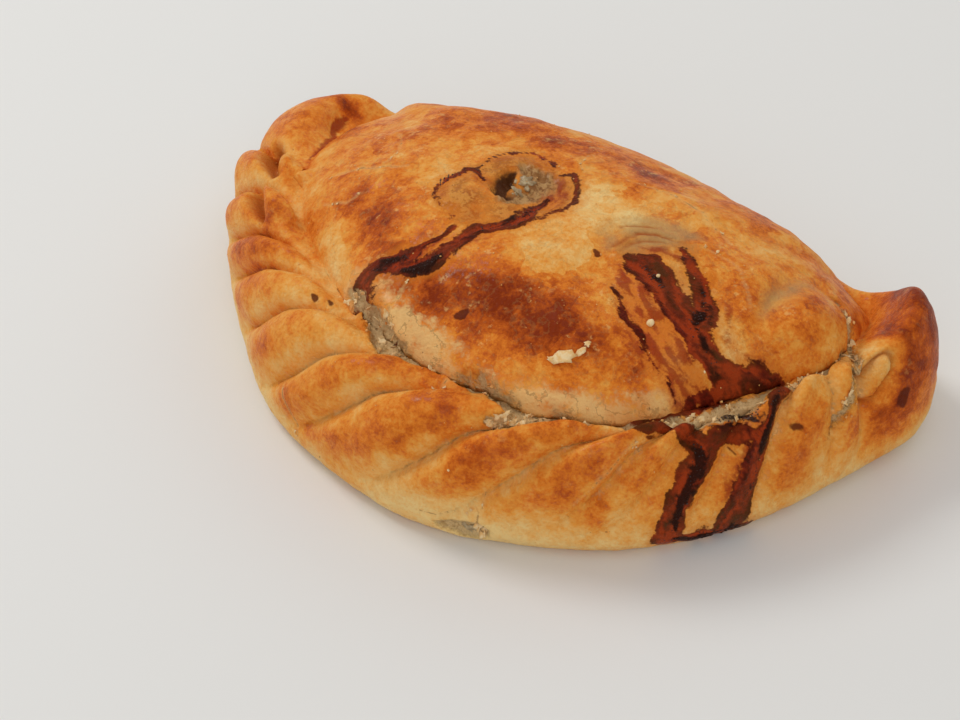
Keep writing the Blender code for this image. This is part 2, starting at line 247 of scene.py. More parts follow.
@dataclass
class Form:
    """The pasty's plain form as a grid of stations by rows, crown first and base's middle last.

    Attributes:
        stations, dome_rows, side_rows, base_rows: the grid's counts.
        points: the grid, in mm.
        along: each station's place along the outline, in mm from the left ear's tip.
        down: each row's place: -1 at the crown, 0 at the seam, 1 at the foot and 2 under the middle.
        chart: the surface unrolled flat, in mm.
        crimp: how far each station belongs to the rope.
    """

    stations: int = 600
    dome_rows: int = 80
    side_rows: int = 72
    base_rows: int = 4
    points: np.ndarray = field(init=False)
    along: np.ndarray = field(init=False)
    down: np.ndarray = field(init=False)
    chart: np.ndarray = field(init=False)
    crimp: np.ndarray = field(init=False)

    def __post_init__(self) -> None:
        """Lay the grid out."""
        rows = np.array(STATIONS, dtype=float)
        rows[:, 0:2] -= PLAN_CENTRE
        rows[:, 4:6] -= PLAN_CENTRE
        turns = np.linspace(0.0, len(rows), OUTLINE_SAMPLES)
        steps = np.hypot(*np.diff(around(rows[:, :2], turns), axis=0).T)
        travelled = np.concatenate([[0.0], np.cumsum(steps)])
        self.along = np.arange(self.stations) / self.stations * travelled[-1]
        self._lay(around(rows, np.interp(self.along, travelled, turns)))

    def _lay(self, stations: np.ndarray) -> None:
        """Fill the grid.

        Args:
            stations: a row for each station, with a Station's values.
        """
        outer, seam = stations[:, 0:2], stations[:, 4:6]
        waist, undercut = stations[:, 2], stations[:, 3]
        groove, crest, crest_place, brow, crimp = stations.T[6:]
        middle = -np.array(PLAN_CENTRE)
        self.crimp = smooth_step(crimp, 0.0, 1.0)
        width = np.hypot(*(outer - seam).T)
        radius = np.hypot(*(seam - middle).T)
        reach = np.minimum(radius / np.hypot(*(outer - middle).T), FOLD_SEAM_MOST)
        groove = self.crimp * np.maximum(groove, LEAST_SEAM) + (1.0 - self.crimp) * fold_height(reach)
        tuck = 1.0 - undercut / np.maximum(width, LEAST_WIDTH)

        places = 1.0 - (1.0 - np.linspace(0.0, 1.0, self.dome_rows + 1)) ** ROW_CROWDING
        heights = self._dome_heights(places, groove, reach, brow)
        plan = middle + (seam - middle)[:, None, :] * places[None, :, None]
        dome = np.concatenate([plan, heights[..., None]], axis=-1)

        knots = self._side_knots(waist, tuck, groove, np.maximum(crest, LEAST_CREST), crest_place)
        step_in = (places[-2] - 1.0) * radius / np.maximum(width, 1.0)
        knots = np.concatenate([[(step_in, heights[:, -2])], knots, [(tuck - TUCK_RUN, 0.0 * tuck)]])
        last = len(knots) - 3
        travel = np.linspace(0.0, last, self.side_rows + 1)[1:]
        whole = np.minimum(np.floor(travel).astype(int), last - 1)
        part = (travel - whole)[:, None, None]
        profile = catmull_rom(knots[whole], knots[whole + 1], knots[whole + 2], knots[whole + 3], part)
        across, height = profile[:, 0].T, np.maximum(profile[:, 1].T, 0.0)
        plan = seam[:, None, :] + (outer - seam)[:, None, :] * across[..., None]
        side = np.concatenate([plan, height[..., None]], axis=-1)

        inward = np.linspace(0.0, 1.0, self.base_rows + 1)[1:]
        base = np.zeros((self.stations, self.base_rows, 3))
        base[..., :2] = middle + (side[:, -1:, :2] - middle) * (1.0 - inward)[None, :, None]
        self.points = np.concatenate([dome, side, base], axis=1)
        self.down = np.concatenate([places - 1.0, travel / last, 1.0 + inward])
        self._unroll((outer - seam) / width[:, None])

    def _dome_heights(self, places: np.ndarray, groove: np.ndarray, reach: np.ndarray,
                      brow: np.ndarray) -> np.ndarray:
        """Work out the dome's heights.

        Args:
            places: the rows' shares of the way from the crown to the seam.
            groove: the seam's heights, in mm.
            reach: how far out on the fold's curve each seam lies.
            brow: how steeply the dome ends there.

        Returns:
            A grid of heights, in mm.
        """
        broad = soften(self.crimp, self.along[1], BLEND_REACH)
        steep = 1.0 / soften(brow, self.along[1], 0.5 * BLEND_REACH)[:, None]
        rim = places[None, :] ** RIM_POWER
        share = self.crimp[:, None] * rim + broad[:, None] * (1.0 - rim)
        foot = groove[:, None]
        rope = foot + (CROWN_HEIGHT - foot) * (1.0 - places**ROPE_DOME_POWER) ** steep
        return share * rope + (1.0 - share) * fold_height(places * reach[:, None])

    def _unroll(self, outward: np.ndarray) -> None:
        """Unroll the surface: the dome keeps its plan, and the side runs on outwards from the seam.

        Args:
            outward: the unit way out at each station.
        """
        first = self.dome_rows
        self.chart = self.points[..., :2].copy()
        steps = np.linalg.norm(np.diff(self.points[:, first:], axis=1), axis=-1)
        travelled = np.concatenate([np.zeros((self.stations, 1)), np.cumsum(steps, axis=1)], axis=1)
        seam = self.points[:, first : first + 1, :2]
        self.chart[:, first:] = seam + outward[:, None, :] * travelled[..., None]

    def _side_knots(self, waist: np.ndarray, tuck: np.ndarray, groove: np.ndarray, crest: np.ndarray,
                    crest_place: np.ndarray) -> np.ndarray:
        """Work out the side profiles' knots.

        Args:
            waist, tuck: height of the widest point, and the base's place across.
            groove, crest, crest_place: height of the seam, height and place of the rope's top.

        Returns:
            How far out, 0 at the seam to 1, and how high each knot lies at each station.
        """
        one = np.ones_like(waist)
        rest = 1.0 - crest_place
        rope = np.array([
            (0.0 * one, groove),
            (0.4 * crest_place, groove + 0.45 * (crest - groove)),
            (crest_place, crest),
            (crest_place + 0.45 * rest, 0.90 * crest),
            (crest_place + 0.85 * rest, waist + 0.42 * (crest - waist)),
            (one, waist),
            (0.97 + 0.03 * tuck, 0.4 * waist),
            (tuck, 0.0 * one),
        ])
        fold = np.array([
            (0.0 * one, groove),
            (0.25 * one, 0.87 * groove),
            (0.50 * one, 0.72 * groove),
            (0.74 * one, 0.53 * groove),
            (0.92 * one, 0.33 * groove),
            (one, 0.7 * waist),
            (0.96 + 0.04 * tuck, 0.3 * waist),
            (tuck, 0.0 * one),
        ])
        return self.crimp * rope + (1.0 - self.crimp) * fold


# ---------------------------------------------------------------- the relief


def noise_over(points: np.ndarray, size: float, octaves: int, seed: float) -> np.ndarray:
    """Read fractal noise over points of any grid shape.

    Args:
        points: places in mm, xyz last.
        size: the largest lumps' size in mm.
        octaves: how many halvings of that size are added.
        seed: moves the pattern.

    Returns:
        Values of about -1 to 1.
    """
    flat = points.reshape(-1, points.shape[-1]) / size + seed
    values = [noise.fractal(Vector(place), 1.0, 2.0, octaves) for place in flat.tolist()]
    return np.array(values).reshape(points.shape[:-1])


class Lumps(NamedTuple):
    """Fractal noise of a size in mm."""

    amount: float
    size: float
    octaves: int
    seed: float

    def over(self, points: np.ndarray) -> np.ndarray:
        """Return the noise over points, up to about its amount either way."""
        return self.amount * noise_over(points, self.size, self.octaves, self.seed)


class Rise(NamedTuple):
    """A smooth change of height over a mark, starting and ending so far inside it. All in mm."""

    amount: float
    start: float
    end: float

    def over(self, inside: np.ndarray) -> np.ndarray:
        """Return the change of height."""
        return self.amount * smooth_step(inside, self.start, self.end)


class Gash(NamedTuple):
    """A hollow with a slightly lifted lip. All in mm."""

    depth: float
    lip: float
    wider: float = 0.0

    def over(self, inside: np.ndarray) -> np.ndarray:
        """Return the change of height, for how far inside the mark each place lies."""
        grown = inside + self.wider
        return self.lip * bell(grown, -0.8, 0.7) - self.depth * smooth_step(grown, -0.4, 1.3)


class Stroke(NamedTuple):
    """A smooth line drawn on the unrolled crust through points (x, y, half width), all in mm."""

    points: tuple

    def route(self) -> np.ndarray:
        """Work out close places along the line.

        Returns:
            Rows of x, y and half width, in mm.
        """
        knots = np.array([self.points[0], *self.points, self.points[-1]], dtype=float)
        shares = np.arange(STROKE_STEPS)[:, None] / STROKE_STEPS
        spans = [catmull_rom(*knots[first : first + 4], shares) for first in range(len(self.points) - 1)]
        return np.concatenate([*spans, knots[-1:]])

    def inside(self, chart: np.ndarray) -> np.ndarray:
        """Measure how far inside the line each place lies.

        Args:
            chart: places on the unrolled crust, in mm.

        Returns:
            Distances in mm, negative outside it.
        """
        best = np.full(chart.shape[:-1], FAR_OUTSIDE)
        route = self.route()
        for start, end in zip(route, route[1:]):
            span = end[:2] - start[:2]
            off = chart - start[:2]
            share = np.clip((off @ span) / max(float(span @ span), 1e-6), 0.0, 1.0)
            gap = np.linalg.norm(off - share[..., None] * span, axis=-1)
            best = np.maximum(best, start[2] + (end[2] - start[2]) * share - gap)
        return best


class Patch(NamedTuple):
    """A soft oval on the unrolled crust, in mm, with its long way's heading in degrees."""

    x: float
    y: float
    long: float
    wide: float
    heading: float
    amount: float

    def over(self, chart: np.ndarray) -> np.ndarray:
        """Spread the patch over the crust.

        Args:
            chart: places on the unrolled crust, in mm.

        Returns:
            Its amount at each place, fading outwards.
        """
        turn = math.radians(self.heading)
        off_x, off_y = chart[..., 0] - self.x, chart[..., 1] - self.y
        along = (off_x * math.cos(turn) + off_y * math.sin(turn)) / self.long
        across = (off_y * math.cos(turn) - off_x * math.sin(turn)) / self.wide
        return self.amount * np.exp(-(along**2 + across**2))


def widest(strokes: Sequence[Stroke], chart: np.ndarray) -> np.ndarray:
    """Return how far inside the nearest of several strokes each place lies, in mm."""
    return np.max([stroke.inside(chart) for stroke in strokes], axis=0)


def summed(patches: Sequence[Patch], chart: np.ndarray) -> np.ndarray:
    """Return the sum of several patches over the crust."""
    return np.sum([patch.over(chart) for patch in patches], axis=0)


def flowing(strokes: Sequence[Stroke], chart: np.ndarray) -> np.ndarray:
    """Read noise that is drawn out along the nearest of several strokes, as juice runs.

    Args:
        strokes: the lines that the noise runs along.
        chart: places on the unrolled crust, in mm.

    Returns:
        Values of about -1 to 1.
    """
    best = np.full(chart.shape[:-1], FAR_OUTSIDE)
    along, across = np.zeros_like(best), np.zeros_like(best)
    for number, stroke in enumerate(strokes):
        travelled = FLOW_APART * number
        route = stroke.route()
        for start, end in zip(route, route[1:]):
            span = end[:2] - start[:2]
            length = max(float(np.hypot(*span)), 1e-3)
            off = chart - start[:2]
            share = np.clip((off @ span) / length**2, 0.0, 1.0)
            gap = np.linalg.norm(off - share[..., None] * span, axis=-1)
            inside = start[2] + (end[2] - start[2]) * share - gap
            nearer = inside > best
            along = np.where(nearer, travelled + share * length, along)
            left = (span[0] * off[..., 1] - span[1] * off[..., 0]) / length
            across = np.where(nearer, left, across)
            best = np.maximum(best, inside)
            travelled += length
    places = np.stack([along / FLOW_LONG, across / FLOW_WIDE, FLOW_DRIFT * along], axis=-1)
    return noise_over(places, 1.0, 3, 7.0)


# Where the filling's juice broke out, ran down and burnt on.
STAINS = (
    Stroke(((-12, -11, 0.7), (-17.5, -7.5, 0.7), (-20, -1, 1.0), (-16.5, 5, 1.0), (-11.5, 2, 0.5))),
    Stroke(((-16, 6, 0.4), (-14.5, 12, 0.6), (-9, 17, 0.9), (-2, 16, 0.6))),
    Stroke(((1.5, 13, 0.7), (4.5, 13.5, 1.1), (8.5, 6, 0.7), (6.5, -0.5, 0.6), (2.5, -6.5, 0.8))),
    Stroke(((3, 2, 1.0), (1, -8, 2.2), (-5, -13.5, 2.0), (-7, -19, 1.7), (-10, -24, 2.0),
            (-17, -25.5, 1.5))),
    Stroke(((-9.5, -13.5, 1.2), (-13, -20, 1.2), (-17.5, -24, 2.1), (-23, -26, 2.1), (-22, -30, 2.3),
            (-17, -33.5, 1.4))),
    Stroke(((27.5, -4.5, 1.8), (33, -5.5, 3.6), (43, -11, 3.3), (51, -15.5, 3.2), (58, -15, 2.0))),
    Stroke(((35, 3.5, 0.9), (42, -2, 2.2), (47, -8, 2.5), (46.5, -12, 2.4), (49, -14.5, 2.2))),
    Stroke(((27, -12.5, 0.1), (35, -18.5, 0.9), (43, -23.5, 0.4), (48.5, -25, 0.2))),
    Stroke(((57, -14.5, 1.8), (61, -10, 1.5), (65, -6.5, 0.7))),
    Stroke(((40.5, -35, 0.7), (48, -30.5, 1.3), (54, -22, 2.0), (56.5, -16.5, 2.4))),
    Stroke(((46.5, -36, 0.8), (53, -31, 2.0), (60.5, -32, 3.6), (62, -39, 3.3), (64.5, -45, 3.5),
            (68.5, -52.5, 3.8))),
    Stroke(((59, -30, 2.8), (63, -26, 2.8), (67, -21.5, 1.6))),
    Stroke(((66.5, -8.5, 1.0), (67.5, -17.5, 2.0), (73.5, -27, 3.6), (79, -35, 4.5), (80.5, -40.5, 4.2))),
    Stroke(((65, -55, 1.0), (73.5, -48.5, 2.2), (81, -41.5, 2.2), (86, -33.5, 1.2))),
)
CORES = (
    Stroke(((-15, -23, 0.5), (-19, -24.5, 1.5), (-23, -26, 0.6))),
    Stroke(((-8, -21.5, 0.5), (-11, -24.5, 1.6), (-15, -25.5, 0.5))),
    Stroke(((2.5, 0, 0.7), (1, -7, 1.4), (-4, -12.5, 0.8))),
    Stroke(((-20, -3, 0.5), (-20, -0.5, 0.8), (-19.5, 1.5, 0.4))),
    Stroke(((43.5, -3, 0.4), (47, -8, 1.4), (46, -12, 1.3), (53.5, -16, 0.6))),
    Stroke(((30.5, -4.5, 0.7), (33, -6, 1.0), (37, -8, 0.5))),
    Stroke(((56, -30.5, 0.5), (60.5, -33, 2.0), (63, -40, 2.2), (68, -50, 1.2))),
    Stroke(((59, -24.5, 0.6), (62.5, -21.5, 1.2), (65.5, -18, 1.0))),
    Stroke(((67, -11, 0.6), (68, -18.5, 1.5), (74, -25, 1.1), (78, -30.5, 0.6))),
    Stroke(((67.5, -53.5, 0.8), (77, -45.5, 1.5), (84, -37, 0.8))),
)
FILMS = (
    Stroke(((-2.5, -14.5, 1.2), (-9.0, -17.5, 2.2), (-13.0, -22.0, 2.0), (-18.0, -25.0, 1.2))),
    Stroke(((25.5, -7.0, 1.5), (31.0, -11.0, 4.0), (38.0, -16.0, 6.0), (46.0, -20.5, 6.5),
            (53.0, -21.0, 4.0))),
    Stroke(((40.0, -17.5, 3.5), (47.0, -21.0, 6.0), (52.5, -21.5, 4.0))),
    Stroke(((60.0, -24.5, 2.0), (65.0, -20.5, 2.5), (70.0, -27.0, 2.5), (73.0, -33.5, 2.0))),
    Stroke(((29.0, -1.0, 1.5), (33.0, 0.0, 1.8), (37.5, 1.5, 1.2))),
    Stroke(((2.0, 10.0, 1.5), (5.0, 6.0, 3.0), (4.5, 0.5, 2.2))),
    Stroke(((-14.5, 3.0, 1.2), (-11.5, 2.0, 1.0))),
    Stroke(((-17.5, -5.0, 0.8), (-18.6, -0.5, 1.2), (-16.5, 3.5, 1.0))),
    Stroke(((-13.5, 11.0, 0.8), (-10.5, 14.5, 1.2), (-5.5, 15.5, 1.3), (-1.0, 13.8, 0.8))),
    Stroke(((50.5, -3.0, 0.5), (52.5, -8.0, 1.4), (56.0, -11.5, 1.4), (60.0, -11.0, 2.0),
            (63.5, -6.0, 1.2))),
)
# The ruptures where steam tore the crust, and what shows in them.
OCHRE = (
    Stroke(((-15.5, -6.0, 3.5), (-15.0, -0.5, 5.0), (-9.5, 7.0, 7.0), (-5.0, 11.0, 6.0))),
    Stroke(((-15.0, -4.0, 4.5), (-8.0, -6.0, 6.5), (-2.0, -3.0, 5.5), (3.5, 3.0, 4.5), (3.0, 9.0, 5.0))),
    Stroke(((24.5, -2.5, 2.0), (28.5, 1.5, 4.5), (34.0, 3.5, 4.0), (37.5, 2.5, 2.0))),
)
FLESH = (
    Stroke(((-7.0, 11.5, 1.5), (-2.5, 9.5, 3.4), (0.5, 6.0, 3.4), (-2.0, 1.5, 2.4), (-4.5, -1.0, 1.6))),
)
GREYS = (
    Stroke(((20.5, -3.5, 1.5), (20.5, 0.5, 3.2), (24.5, 5.0, 4.0), (30.5, 8.0, 3.4), (35.5, 8.5, 2.2))),
    Stroke(((27.0, -2.5, 2.5), (30.0, 1.5, 3.5), (35.0, 3.5, 2.5))),
    Stroke(((36.5, -2.5, 0.8), (40.5, -5.5, 1.1), (43.0, -8.0, 0.8))),
    Stroke(((56.5, 0.0, 0.8), (56.0, 4.5, 1.8), (56.5, 9.5, 2.0), (58.5, 14.0, 1.4))),
)
# The first vent's open centre: sunk, with painted shadow making it near black.
HOLES = (
    Stroke(((-7.6, 9.0, 0.6), (-8.3, 6.0, 1.7), (-7.6, 3.0, 2.4), (-6.8, 0.5, 1.7), (-4.5, 0.2, 0.8))),
)
# The creases round the second vent's rim: sunk, and darkened with painted shadow.
RIM_CREASES = (
    Stroke(((21.5, -3.5, 0.1), (23.8, -0.5, 0.4), (26.0, 3.0, 0.5), (29.5, 5.0, 0.4), (33.0, 5.0, 0.1))),
    Stroke(((24.0, -3.5, 0.1), (25.5, -1.0, 0.3), (28.5, 1.8, 0.3), (32.0, 2.6, 0.1))),
    Stroke(((20.0, -1.0, 0.1), (22.5, 3.5, 0.3), (27.0, 6.5, 0.2))),
)
# The groove torn open between the dome and the rope, showing the soft dough.
TEARS = (
    Stroke(((-25.5, -28.5, 0.6), (-16, -34.5, 2.2), (-10, -38, 2.8), (0, -39.5, 1.2), (13.5, -40, 1.5))),
    Stroke(((13.5, -40, 1.5), (23.5, -42.5, 3.2), (28, -40, 1.6), (36.5, -38.5, 2.2), (45.5, -34, 0.9))),
    Stroke(((23.5, -43.5, 2.0), (22, -46.5, 1.5), (18.5, -48, 0.7))),
    Stroke(((46, -33, 0.7), (55, -27, 1.9), (61, -19, 2.5), (65, -9, 1.3))),
    Stroke(((66.5, -8, 0.9), (69.5, 0, 1.3), (70.5, 10, 0.8))),
    Stroke(((71, 11.5, 0.8), (76, 7, 1.2), (79, 1, 1.4), (84, -5.5, 0.6))),
    Stroke(((70.5, 12, 0.9), (68, 16, 0.8), (64.5, 19, 0.6))),
)
# A small burst at the foot of the front, the cracks, and the charred spots.
BURST = Stroke((
    (9.5, -75.6, 0.7), (13.0, -75.3, 1.5), (16.5, -74.8, 2.3), (19.5, -73.6, 2.4), (20.6, -72.6, 1.4),
))
CRACKS = (
    Stroke(((-40.5, -49.5, 0.1), (-37, -56, 0.4), (-35.5, -64.5, 0.2))),
    Stroke(((41.5, -58.5, 0.1), (44.5, -49, 0.3), (48, -38, 0.2))),
    Stroke(((-41, 14, 0.2), (-36.5, 8, 0.3), (-36.5, 3, 0.2))),
    Stroke(((-50, -1.5, 0.1), (-42, 0, 0.3), (-30, 1, 0.1))),
    Stroke(((-46.5, -9.5, 0.1), (-41, -9.5, 0.2), (-37, -7, 0.1))),
    Stroke(((38, 7.5, 0.1), (47, 6, 0.2), (54, -1.5, 0.1))),
    Stroke(((20.5, -62, 0.1), (20, -68, 0.3), (19, -74.5, 0.2))),
    Stroke(((5.5, -73, 0.2), (13, -72, 0.3), (19, -68, 0.2))),
    Stroke(((4.5, -46.5, 0.1), (5, -42, 0.3), (9.5, -38.5, 0.2))),
    Stroke(((2, 24, 0.1), (3, 18, 0.2), (5, 16, 0.1))),
    Stroke(((14, 19, 0.1), (29, 19, 0.3), (42, 13.5, 0.1))),
    Stroke(((-14, -34, 0.1), (-12, -30.5, 0.2), (-12.5, -27.5, 0.1))),
)
CHARS = (
    Patch(92, 12.5, 1.9, 1.6, 0, 1.0),
    Patch(74.5, -14, 2.0, 1.0, 30, 0.9),
    Patch(-33.5, -33, 1.0, 0.7, 0, 1.0),
    Patch(-30, -32.5, 0.8, 0.6, 0, 0.8),
    Patch(-11, -36.5, 0.8, 0.7, 0, 0.9),
    Patch(3, -31, 1.7, 0.8, 35, 1.2),
    Patch(20.5, -6.5, 0.9, 0.8, 0, 1.0),
    Patch(31.5, -15, 0.8, 0.7, 0, 1.0),
    Patch(24, -32, 2.6, 1.8, 20, 0.42),
    Patch(32, -32, 3.2, 2.0, 0, 0.30),
    Patch(49.5, -35.5, 1.3, 0.8, 40, 0.8),
    Patch(66.5, -28, 1.6, 0.8, 10, 0.7),
)
# The fold between the left ear and the dome, painted dark as its shadow, darkest at its top.
EAR_FOLD_SHADOW = Stroke((
    (-67.8, 32.0, 0.9), (-67.2, 28.5, 1.3), (-66.0, 24.0, 0.8), (-64.6, 17.5, 0.6), (-63.5, 10.5, 0.5),
))
# How far parts of the crust browned, or stayed pale, beyond its even gold; the paler patches on the left
# side and its lobes are painted sheen from the light there.
BROWNING_AND_SHEEN = (
    Patch(-38.0, -9.0, 8.0, 7.0, 0, 0.12),
    Patch(-85.0, 40.0, 12.0, 16.0, 0, -0.10),
    Patch(-28.0, -15.0, 9.0, 5.0, -30, 0.28),
    Patch(-40.0, 20.0, 16.0, 8.0, 20, 0.06),
    Patch(-10.0, 27.0, 22.0, 7.0, 0, 0.20),
    Patch(16.0, 26.0, 15.0, 6.0, -15, 0.14),
    Patch(-46.0, 2.5, 5.0, 4.0, 0, 0.06),
    # these two paler patches on the left lobes and the left side are painted sheen
    Patch(-78.0, -8.0, 20.0, 16.0, -60, -0.12),
    Patch(-98.0, 14.0, 14.0, 26.0, 0, -0.10),
    Patch(-10.0, -27.0, 9.0, 4.0, -20, 0.26),
    Patch(7.0, -26.0, 11.0, 6.0, -10, 0.36),
    Patch(24.0, -28.0, 12.0, 6.0, 0, 0.34),
    Patch(36.0, -27.0, 8.0, 5.0, 30, 0.26),
    Patch(22.0, -18.0, 8.0, 5.0, -20, 0.14),
    Patch(11.0, -9.0, 8.0, 10.0, -30, -0.20),
    Patch(17.0, 6.0, 9.0, 8.0, 0, -0.26),
    Patch(14.0, 12.0, 6.0, 4.0, 0, -0.12),
    Patch(50.0, 8.0, 12.0, 10.0, -30, -0.06),
    Patch(-54.0, -4.0, 4.0, 10.0, 20, -0.22),
    Patch(-32.0, -24.0, 6.0, 3.0, -35, -0.25),
    Patch(52.0, -9.0, 8.0, 3.0, -20, -0.14),
    Patch(47.0, -25.0, 3.5, 6.0, 20, -0.20),
    Patch(-2.0, -20.0, 5.0, 4.0, 0, -0.10),
    Patch(64.0, 9.0, 5.0, 6.0, 0, 0.10),
    Patch(88.0, 28.0, 13.0, 9.0, 0, 0.38),
    Patch(80.5, 17.0, 9.0, 4.0, -10, 0.42),
    Patch(91.5, 11.0, 6.0, 9.0, 0, 0.36),
    Patch(72.0, 35.0, 9.0, 5.0, 0, 0.24),
    Patch(-70.0, 35.0, 5.0, 2.2, 0, 0.45),
    Patch(85.0, 7.0, 3.0, 5.0, 0, 0.20),
    Patch(-24.0, -41.0, 9.0, 6.0, -20, -0.20),
    Patch(-49.0, -31.0, 9.0, 9.0, -50, -0.24),
    Patch(-12.0, -50.0, 6.0, 5.0, -20, -0.10),
    Patch(1.0, -51.0, 6.0, 5.0, 0, -0.08),
    Patch(25.0, -51.0, 7.0, 5.0, 20, 0.14),
    Patch(33.0, -45.0, 5.0, 4.0, 20, 0.10),
    Patch(8.0, -67.0, 16.0, 5.0, 0, -0.14),
    Patch(56.0, -43.0, 3.5, 5.0, 0, 0.20),
    Patch(-71.0, 20.0, 5.0, 8.0, 0, -0.06),
    Patch(-76.0, 18.0, 6.0, 7.0, 0, 0.16),
    Patch(-72.0, 30.0, 9.0, 9.0, 0, 0.06),
    Patch(-80.0, 40.0, 8.0, 5.0, 0, 0.18),
)
# How far parts of the crust swelled or sank, in mm.
SWELLS = (
    Patch(64.0, 7.5, 6.0, 8.0, 0, 3.3),
    Patch(31.0, 1.5, 7.0, 4.5, -15, 0.9),
    Patch(-15.0, -3.0, 5.0, 5.0, 0, 0.5),
    Patch(9.0, -20.0, 16.0, 9.0, -10, 0.8),
    Patch(-38.0, -8.0, 12.0, 8.0, 0, 0.7),
    Patch(46.0, 8.0, 10.0, 7.0, -20, 0.9),
    Patch(26.0, 20.0, 14.0, 5.0, -10, 0.8),
    Patch(81.0, 8.0, 6.5, 6.0, 0, -1.6),
    Patch(-67.2, 28.5, 2.2, 5.0, 10, -2.4),
    Patch(76.0, -4.0, 1.6, 6.0, 10, 0.9),
    Patch(72.6, -7.0, 1.0, 7.0, 15, -0.8),
    Patch(28.0, -24.0, 8.0, 6.0, 0, 0.6),
    Patch(-2.0, 6.0, 6.0, 5.0, 0, -1.4),
    Patch(24.0, -9.0, 4.0, 9.0, -60, -0.8),
    Patch(56.0, 5.0, 2.4, 8.5, 0, -1.5),
    Patch(62.0, 18.5, 6.0, 2.2, 0, -1.0),
    Patch(62.0, -4.5, 5.0, 2.2, -20, -0.9),
    Patch(72.0, 10.0, 2.0, 10.0, 0, -0.9),
    Patch(-42.0, 9.0, 3.0, 8.0, 20, -0.5),
)
BUTTON = Stroke(((81.6, 9.8, 2.2), (82.8, 6.0, 2.5)))      # a nub of dough pinched off by the ear
# The two curled folds by the left ear: the hollow of each, darkened with painted shadow, and the leaf that
# it is rolled round.
CURL_HOLLOWS = (
    Stroke(((-77.5, 13.5, 0.6), (-74.0, 9.5, 2.2), (-70.0, 5.0, 2.0), (-66.5, 1.0, 0.8))),
    Stroke(((-70.5, -3.5, 0.5), (-66.0, -7.5, 1.8), (-62.5, -11.0, 1.6), (-60.5, -13.5, 0.6))),
)
CURL_LEAVES = (
    Stroke(((-69.5, 8.0, 1.2), (-66.0, 5.0, 2.2), (-62.0, 3.0, 2.2), (-58.5, 2.0, 1.2))),
    Stroke(((-63.0, -6.5, 1.0), (-60.0, -9.5, 1.9), (-57.0, -11.5, 1.9), (-53.5, -12.5, 1.0))),
)

# The marks whose edges are ragged, and those whose edges are even.
RAGGED_MARKS = {
    "stain": STAINS, "core": CORES, "film": FILMS, "ochre": OCHRE, "flesh": FLESH, "grey": GREYS,
    "hole": HOLES, "tear": TEARS, "burst": (BURST,), "crack": CRACKS, "rim": RIM_CREASES,
    "redline": (EAR_FOLD_SHADOW,),
}
EVEN_MARKS = {"hollow": CURL_HOLLOWS, "leaf": CURL_LEAVES, "button": (BUTTON,)}

# The relief over each mark, and the lumps over the whole crust, in mm.
GASHES = {
    "tear": Gash(1.5, 0.35), "burst": Gash(1.4, 0.2), "hole": Gash(1.5, 0.3),
    "crack": Gash(0.35, 0.12, 0.2), "rim": Gash(0.55, 0.15),
}
RISES = {
    "flesh": Rise(-0.5, -0.5, 1.5), "hollow": Rise(-4.6, -1.4, 1.8), "leaf": Rise(3.0, -1.4, 1.6),
    "button": Rise(2.3, -1.0, 1.6),
}
RAGGED_WAYS = (Lumps(1.0, 5.0, 4, 3.0), Lumps(1.0, 5.0, 4, 47.0))
BROAD_LUMPS = Lumps(0.9, 20.0, 3, 11.0)
BROAD_LEAST = 0.35               # what is left of the broad lumps off the dome, as a share
FINE_LUMPS = Lumps(0.16, 4.5, 3, 23.0)
TORN_LUMPS = Lumps(0.9, 2.6, 2, 5.0)
FLESH_LUMPS = Lumps(1.2, 3.0, 3, 15.0)
CREASE_SINK = 0.7
BUTTON_RING = 0.9                # the pinched ring round the nub
FLAP_RISE, FLAP_REACH = 1.6, 0.11       # the dome's front edge swells into a flap over the groove
FLOW_RISE = 0.35                 # the crust of dried juice
FLOW_APART = 40.0                # keeps one stroke's noise away from the next one's
FLOW_LONG, FLOW_WIDE = 7.0, 1.5  # the size of its runs
FLOW_DRIFT = 0.05

# The browning over the whole crust, from 0 for hardly baked to 1 for burnt.
EVEN_BROWN = 0.52
BROWN_BROAD = Lumps(0.22, 16.0, 4, 31.0)
BROWN_FINE = Lumps(0.10, 4.0, 3, 37.0)
FLAP_PATCHES = Lumps(0.8, 7.0, 4, 53.0)
LOBE_TOP = 1.4                   # mm of rise at which a lobe is browned most


def lobes(form: Form) -> tuple[np.ndarray, np.ndarray]:
    """Lay the rope's lobes over the form.

    Args:
        form: the plain form.

    Returns:
        How far they rise in mm, and a value that is 1 in the creases and 0 elsewhere.
    """
    down = form.down[None, :]
    window = smooth_step(down, LOBE_START, LOBE_FULL) * (1.0 - smooth_step(down, LOBE_FADE, LOBE_END))
    window = window * form.crimp[:, None]
    rise = np.zeros(form.points.shape[:2])
    near = np.zeros(form.points.shape[:2])
    run = np.clip((down - LOBE_TURN) / (LOBE_FOOT - LOBE_TURN), 0.0, LOBE_RUN_MOST)
    for left, right in zip(CREASES, CREASES[1:]):
        start = left.at_groove + (left.at_foot - left.at_groove) * run
        end = right.at_groove + (right.at_foot - right.at_groove) * run
        share = (form.along[:, None] - start) / (end - start)
        inside = (share > 0.0) & (share < 1.0)
        share = np.clip(share, 0.0, 1.0)
        depth = left.depth + (right.depth - left.depth) * share
        shape = np.sin(math.pi * share**LOBE_LEAN) ** LOBE_FULLNESS - LOBE_SINK
        rise = np.where(inside, LOBE_RISE * depth * shape, rise)
        sunk = min(right.depth, CREASE_DEPTH_MOST) / CREASE_DEPTH_MOST
        near = np.maximum(near, bell(form.along[:, None], end, CREASE_REACH) * sunk)
    return rise * window, near * window


# ---------------------------------------------------------------- the finishes


